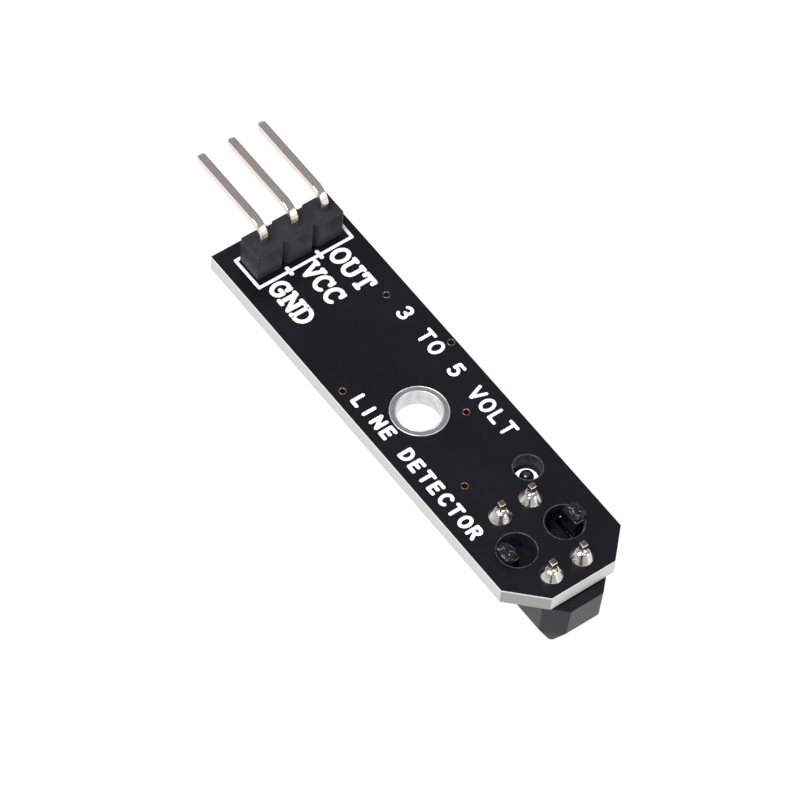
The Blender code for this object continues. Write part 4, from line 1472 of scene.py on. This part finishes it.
class TRACK_OT_chips(bpy.types.Operator):
    """Make the chip resistors and the capacitor with their metal ends and fillets"""

    bl_idname = "track.chips"
    bl_label = "Chips"

    def execute(self, context):
        share_of = context.scene.track_chips.cap_share
        fillets = []
        for number, node in enumerate([*RESISTORS, "supply_capacitor"], 1):
            low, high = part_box(node)
            x, y, _ = middle(node)
            half_x, half_y, _ = half_size(node)
            cap = 2 * half_y * share_of
            body_finish = capacitor_ceramic() if node == "supply_capacitor" else alumina()
            body = block(oblong(half_x - CHIP_INSET, half_y - CHIP_INSET, 0.05 * MM),
                         low.z + CHIP_INSET, high.z - CHIP_INSET, 0.03 * MM)
            parts = [(moved(body, x, y), body_finish)]
            for side in (-1, 1):
                end = block(oblong(half_x, cap / 2, 0.06 * MM), low.z, high.z, 0.04 * MM)
                parts.append((moved(end, x, y + side * (half_y - cap / 2)), tin_plate()))
                reach, rise = CHIP_SOLDER
                fillets.append(fillet(x, y + side * half_y, side, 2 * half_x * 0.95, reach,
                                      (high.z - low.z) * rise))
            if node != "supply_capacitor":
                glaze = block(oblong(half_x - 0.03 * MM, half_y - cap * 0.8, 0.05 * MM),
                              low.z - RIM_SKIN, low.z + 0.05 * MM, 0.02 * MM)
                parts.append((moved(glaze, x, y), resistor_glaze()))
            name = "capacitor" if node == "supply_capacitor" else f"resistor_{number}"
            piece(name, parts, [node])
        for number in range(1, 9):
            low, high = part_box(f"comparator_leg_{number}")
            side = -1 if high.y < CENTRE_Y else 1
            toe = high.y if side > 0 else low.y
            fillets.append(fillet((low.x + high.x) / 2, toe, side, *LEG_SOLDER))
        piece("chip_solder", fillets)
        return {"FINISHED"}


# Copper routes on the underside, in millimetres from the fixing hole.
ROUTES = (
    ((-16.05, -1.67), (-14.6, -3.1), (-5.1, -3.1), (-4.24, -3.33)),
    ((-16.05, 0.87), (-14.6, 0.87), (-13.6, 0.2)),
    ((-13.3, 1.4), (-12.3, 2.6), (-10.95, 3.6)),
    ((-16.05, 3.41), (-14.5, 4.8), (-10.2, 4.8), (-9.68, 3.9)),
    ((-8.42, 3.6), (-8.42, 4.4), (-5.4, 4.4), (-4.6, 4.1)),
    ((-7.15, 3.5), (-6.2, 2.85), (-4.6, 2.85)),
    ((-7.15, -2.2), (-5.6, -0.6), (-4.6, 0.1)),
    ((-4.6, -2.3), (-3.6, -3.2), (3.4, -3.2), (4.5, -2.7)),
    ((4.5, -1.4), (5.6, -0.61), (9.84, -0.61)),
    ((4.5, 2.7), (5.6, 1.93), (9.84, 1.93)),
    ((4.5, 4.0), (5.4, 4.7), (7.4, 4.7), (8.4, 4.2)),
    ((15.46, 1.93), (15.46, 3.7), (14.2, 4.9), (-2.6, 4.9), (-3.4, 5.19)),
    ((15.46, -0.61), (14.2, -2.9), (7.6, -2.9), (6.6, -1.14)),
)


# Printed bars beside a part: distance from its middle and half length in millimetres, and line width
CASE_BARS = (2.8, 1.7, 0.15 * MM)
CHIP_BARS = (0.68, 0.8, 0.12 * MM)
UNDER_INK = 0.015 * MM


class TRACK_OT_underside(bpy.types.Operator):
    """Lay the copper tracks and the underside's printing"""

    bl_idname = "track.underside"
    bl_label = "Underside"

    def execute(self, context):
        board = context.scene.track_board
        tracks = []
        for route in ROUTES:
            tracks += ruled(route, board.track, 0.018 * MM, BOARD_LOW[2])
        piece("copper_tracks", [(part, solder_mask()) for part in tracks])
        ink = []
        for nodes, (aside, half, line) in ((["comparator_body"], CASE_BARS),
                                           ([*RESISTORS, "supply_capacitor"], CHIP_BARS)):
            for node in nodes:
                x, y, _ = middle(node) / MM
                for end in (-1, 1):
                    ink += ruled([(x + end * aside, y - half), (x + end * aside, y + half)], line,
                                 UNDER_INK, BOARD_LOW[2])
        x, y, _ = middle("comparator_body") / MM
        ink += ruled([(x - 3.2, y - 2.6), (x - 3.18, y - 2.6)], 0.45 * MM, UNDER_INK, BOARD_LOW[2])
        piece("underside_legend", [(part, legend_ink()) for part in ink])
        return {"FINISHED"}


# ---------------------------------------------------------------- the stage


def direction(azimuth, elevation):
    """The unit vector that points azimuth round from +X and elevation up."""
    flat = math.cos(elevation)
    return np.array([flat * math.cos(azimuth), flat * math.sin(azimuth), math.sin(elevation)])


def facing(back, up_hint, roll=0.0):
    """A rotation whose Z axis is back and whose X axis is level, then rolled about Z."""
    right = np.cross(up_hint, back)
    right /= np.linalg.norm(right)
    up = np.cross(back, right)
    c, s = math.cos(roll), math.sin(roll)
    return np.stack([c * right + s * up, c * up - s * right, back], 1)


def placed(obj, spot, axes):
    """Puts a camera or lamp at spot with the axes as its columns."""
    matrix = np.eye(4)
    matrix[:3, :3] = axes
    matrix[:3, 3] = spot
    obj.matrix_world = matrix.T.tolist()
    bpy.context.scene.collection.objects.link(obj)


def softbox(name, azimuth, elevation, away, size, radiance):
    """An area lamp that looks at the module; its power is pi x area x radiance."""
    lamp = bpy.data.lights.new(name, "AREA")
    lamp.shape = "RECTANGLE"
    lamp.size, lamp.size_y = size
    lamp.energy = math.pi * size[0] * size[1] * radiance
    obj = bpy.data.objects.new(name, lamp)
    back = direction(math.radians(azimuth), math.radians(elevation))
    placed(obj, back * away, facing(back, (0, 0, 1)))


LOOK_AT = np.array([-1.289, -0.711, 1.762]) * MM
FLOOR_REACH = 1.5
FLAGS = ((-41, 14), (70, 8), (-145, 57), (119, 24))  # azimuth and elevation of the dark flags
FLAG_EDGE = 0.985  # cosine of the angle within which a flag is darkest


class TRACK_OT_stage(bpy.types.Operator):
    """Set the camera, the pale floor and the soft lights"""

    bl_idname = "track.stage"
    bl_label = "Stage"

    def execute(self, context):
        stage = context.scene.track_stage
        back = direction(stage.azimuth, stage.elevation)
        lens = bpy.data.cameras.new("camera")
        lens.lens = stage.lens
        lens.sensor_width = 36.0
        lens.clip_start = 0.01
        lens.clip_end = 20.0
        camera = bpy.data.objects.new("camera", lens)
        placed(camera, LOOK_AT + stage.distance * back, facing(back, (0, 0, 1), stage.roll))
        context.scene.camera = camera

        low = CAD_BOX[0][2] - 0.05 * MM
        corners = oblong(FLOOR_REACH, FLOOR_REACH).tolist()
        mesh = bpy.data.meshes.new("floor")
        mesh.from_pydata([(x, y, low) for x, y in corners], [], [(0, 1, 2, 3)])
        mesh.materials.append(floor_board())
        floor = bpy.data.objects.new("floor", mesh)
        context.scene.collection.objects.link(floor)

        softbox("key softbox", -85, 57, 0.42, (0.32, 0.3), stage.key)
        softbox("side softbox", 26, 24, 0.45, (0.2, 0.18), stage.side)

        world = bpy.data.worlds.new("studio")
        context.scene.world = world
        world.use_nodes = True
        tree = world.node_tree
        ray = add(tree, "TexCoord").outputs["Generated"]
        height = add(tree, "SeparateXYZ", {0: ray}).outputs["Z"]
        fall = add(tree, "MapRange", {"Value": height, "From Min": 0.0, "From Max": 0.5, "To Min": 0.8,
                                      "To Max": 0.4}, interpolation_type="SMOOTHSTEP").outputs[0]
        for azimuth, elevation in FLAGS:
            flag = direction(math.radians(azimuth), math.radians(elevation)).tolist()
            near = add(tree, "VectorMath", {0: ray, 1: flag}, operation="DOT_PRODUCT").outputs["Value"]
            shade = add(tree, "MapRange", {"Value": near, "From Min": FLAG_EDGE - 0.02,
                                           "From Max": FLAG_EDGE, "To Min": 1.0,
                                           "To Max": 0.12}).outputs[0]
            fall = add(tree, "Math", {0: fall, 1: shade}, operation="MULTIPLY").outputs[0]
        tree.links.new(fall, tree.nodes["Background"].inputs["Strength"])
        tree.nodes["Background"].inputs["Color"].default_value = srgb("#fdfdff")
        context.scene.view_settings.view_transform = "Standard"
        return {"FINISHED"}


OPERATORS = (
    TRACK_OT_stage, TRACK_OT_board, TRACK_OT_plating, TRACK_OT_legend, TRACK_OT_header,
    TRACK_OT_pins, TRACK_OT_solder, TRACK_OT_leads, TRACK_OT_case, TRACK_OT_diodes,
    TRACK_OT_lamp, TRACK_OT_comparator, TRACK_OT_chips, TRACK_OT_underside,
)


class TRACK_PT_panel(bpy.types.Panel):
    """Lists the settings and the steps that build the module"""

    bl_idname = "TRACK_PT_panel"
    bl_label = "Tracking sensor"
    bl_space_type = "VIEW_3D"
    bl_region_type = "UI"
    bl_category = "Tracking sensor"

    def draw(self, context):
        for operator in OPERATORS:
            self.layout.operator(operator.bl_idname)
        for name, group in SETTINGS.items():
            box = self.layout.box()
            box.label(text=group.__name__.replace("Settings", ""))
            for key in group.__annotations__:
                box.prop(getattr(context.scene, name), key)


def register():
    for group in SETTINGS.values():
        bpy.utils.register_class(group)
    for operator in OPERATORS:
        bpy.utils.register_class(operator)
    bpy.utils.register_class(TRACK_PT_panel)
    for name, group in SETTINGS.items():
        setattr(bpy.types.Scene, name, bpy.props.PointerProperty(type=group))


def unregister():
    for name in SETTINGS:
        delattr(bpy.types.Scene, name)
    bpy.utils.unregister_class(TRACK_PT_panel)
    for operator in reversed(OPERATORS):
        bpy.utils.unregister_class(operator)
    for group in reversed(SETTINGS.values()):
        bpy.utils.unregister_class(group)


def main():
    register()
    for operator in OPERATORS:
        category, name = operator.bl_idname.split(".")
        getattr(getattr(bpy.ops, category), name)()


if __name__ == "__main__":
    main()
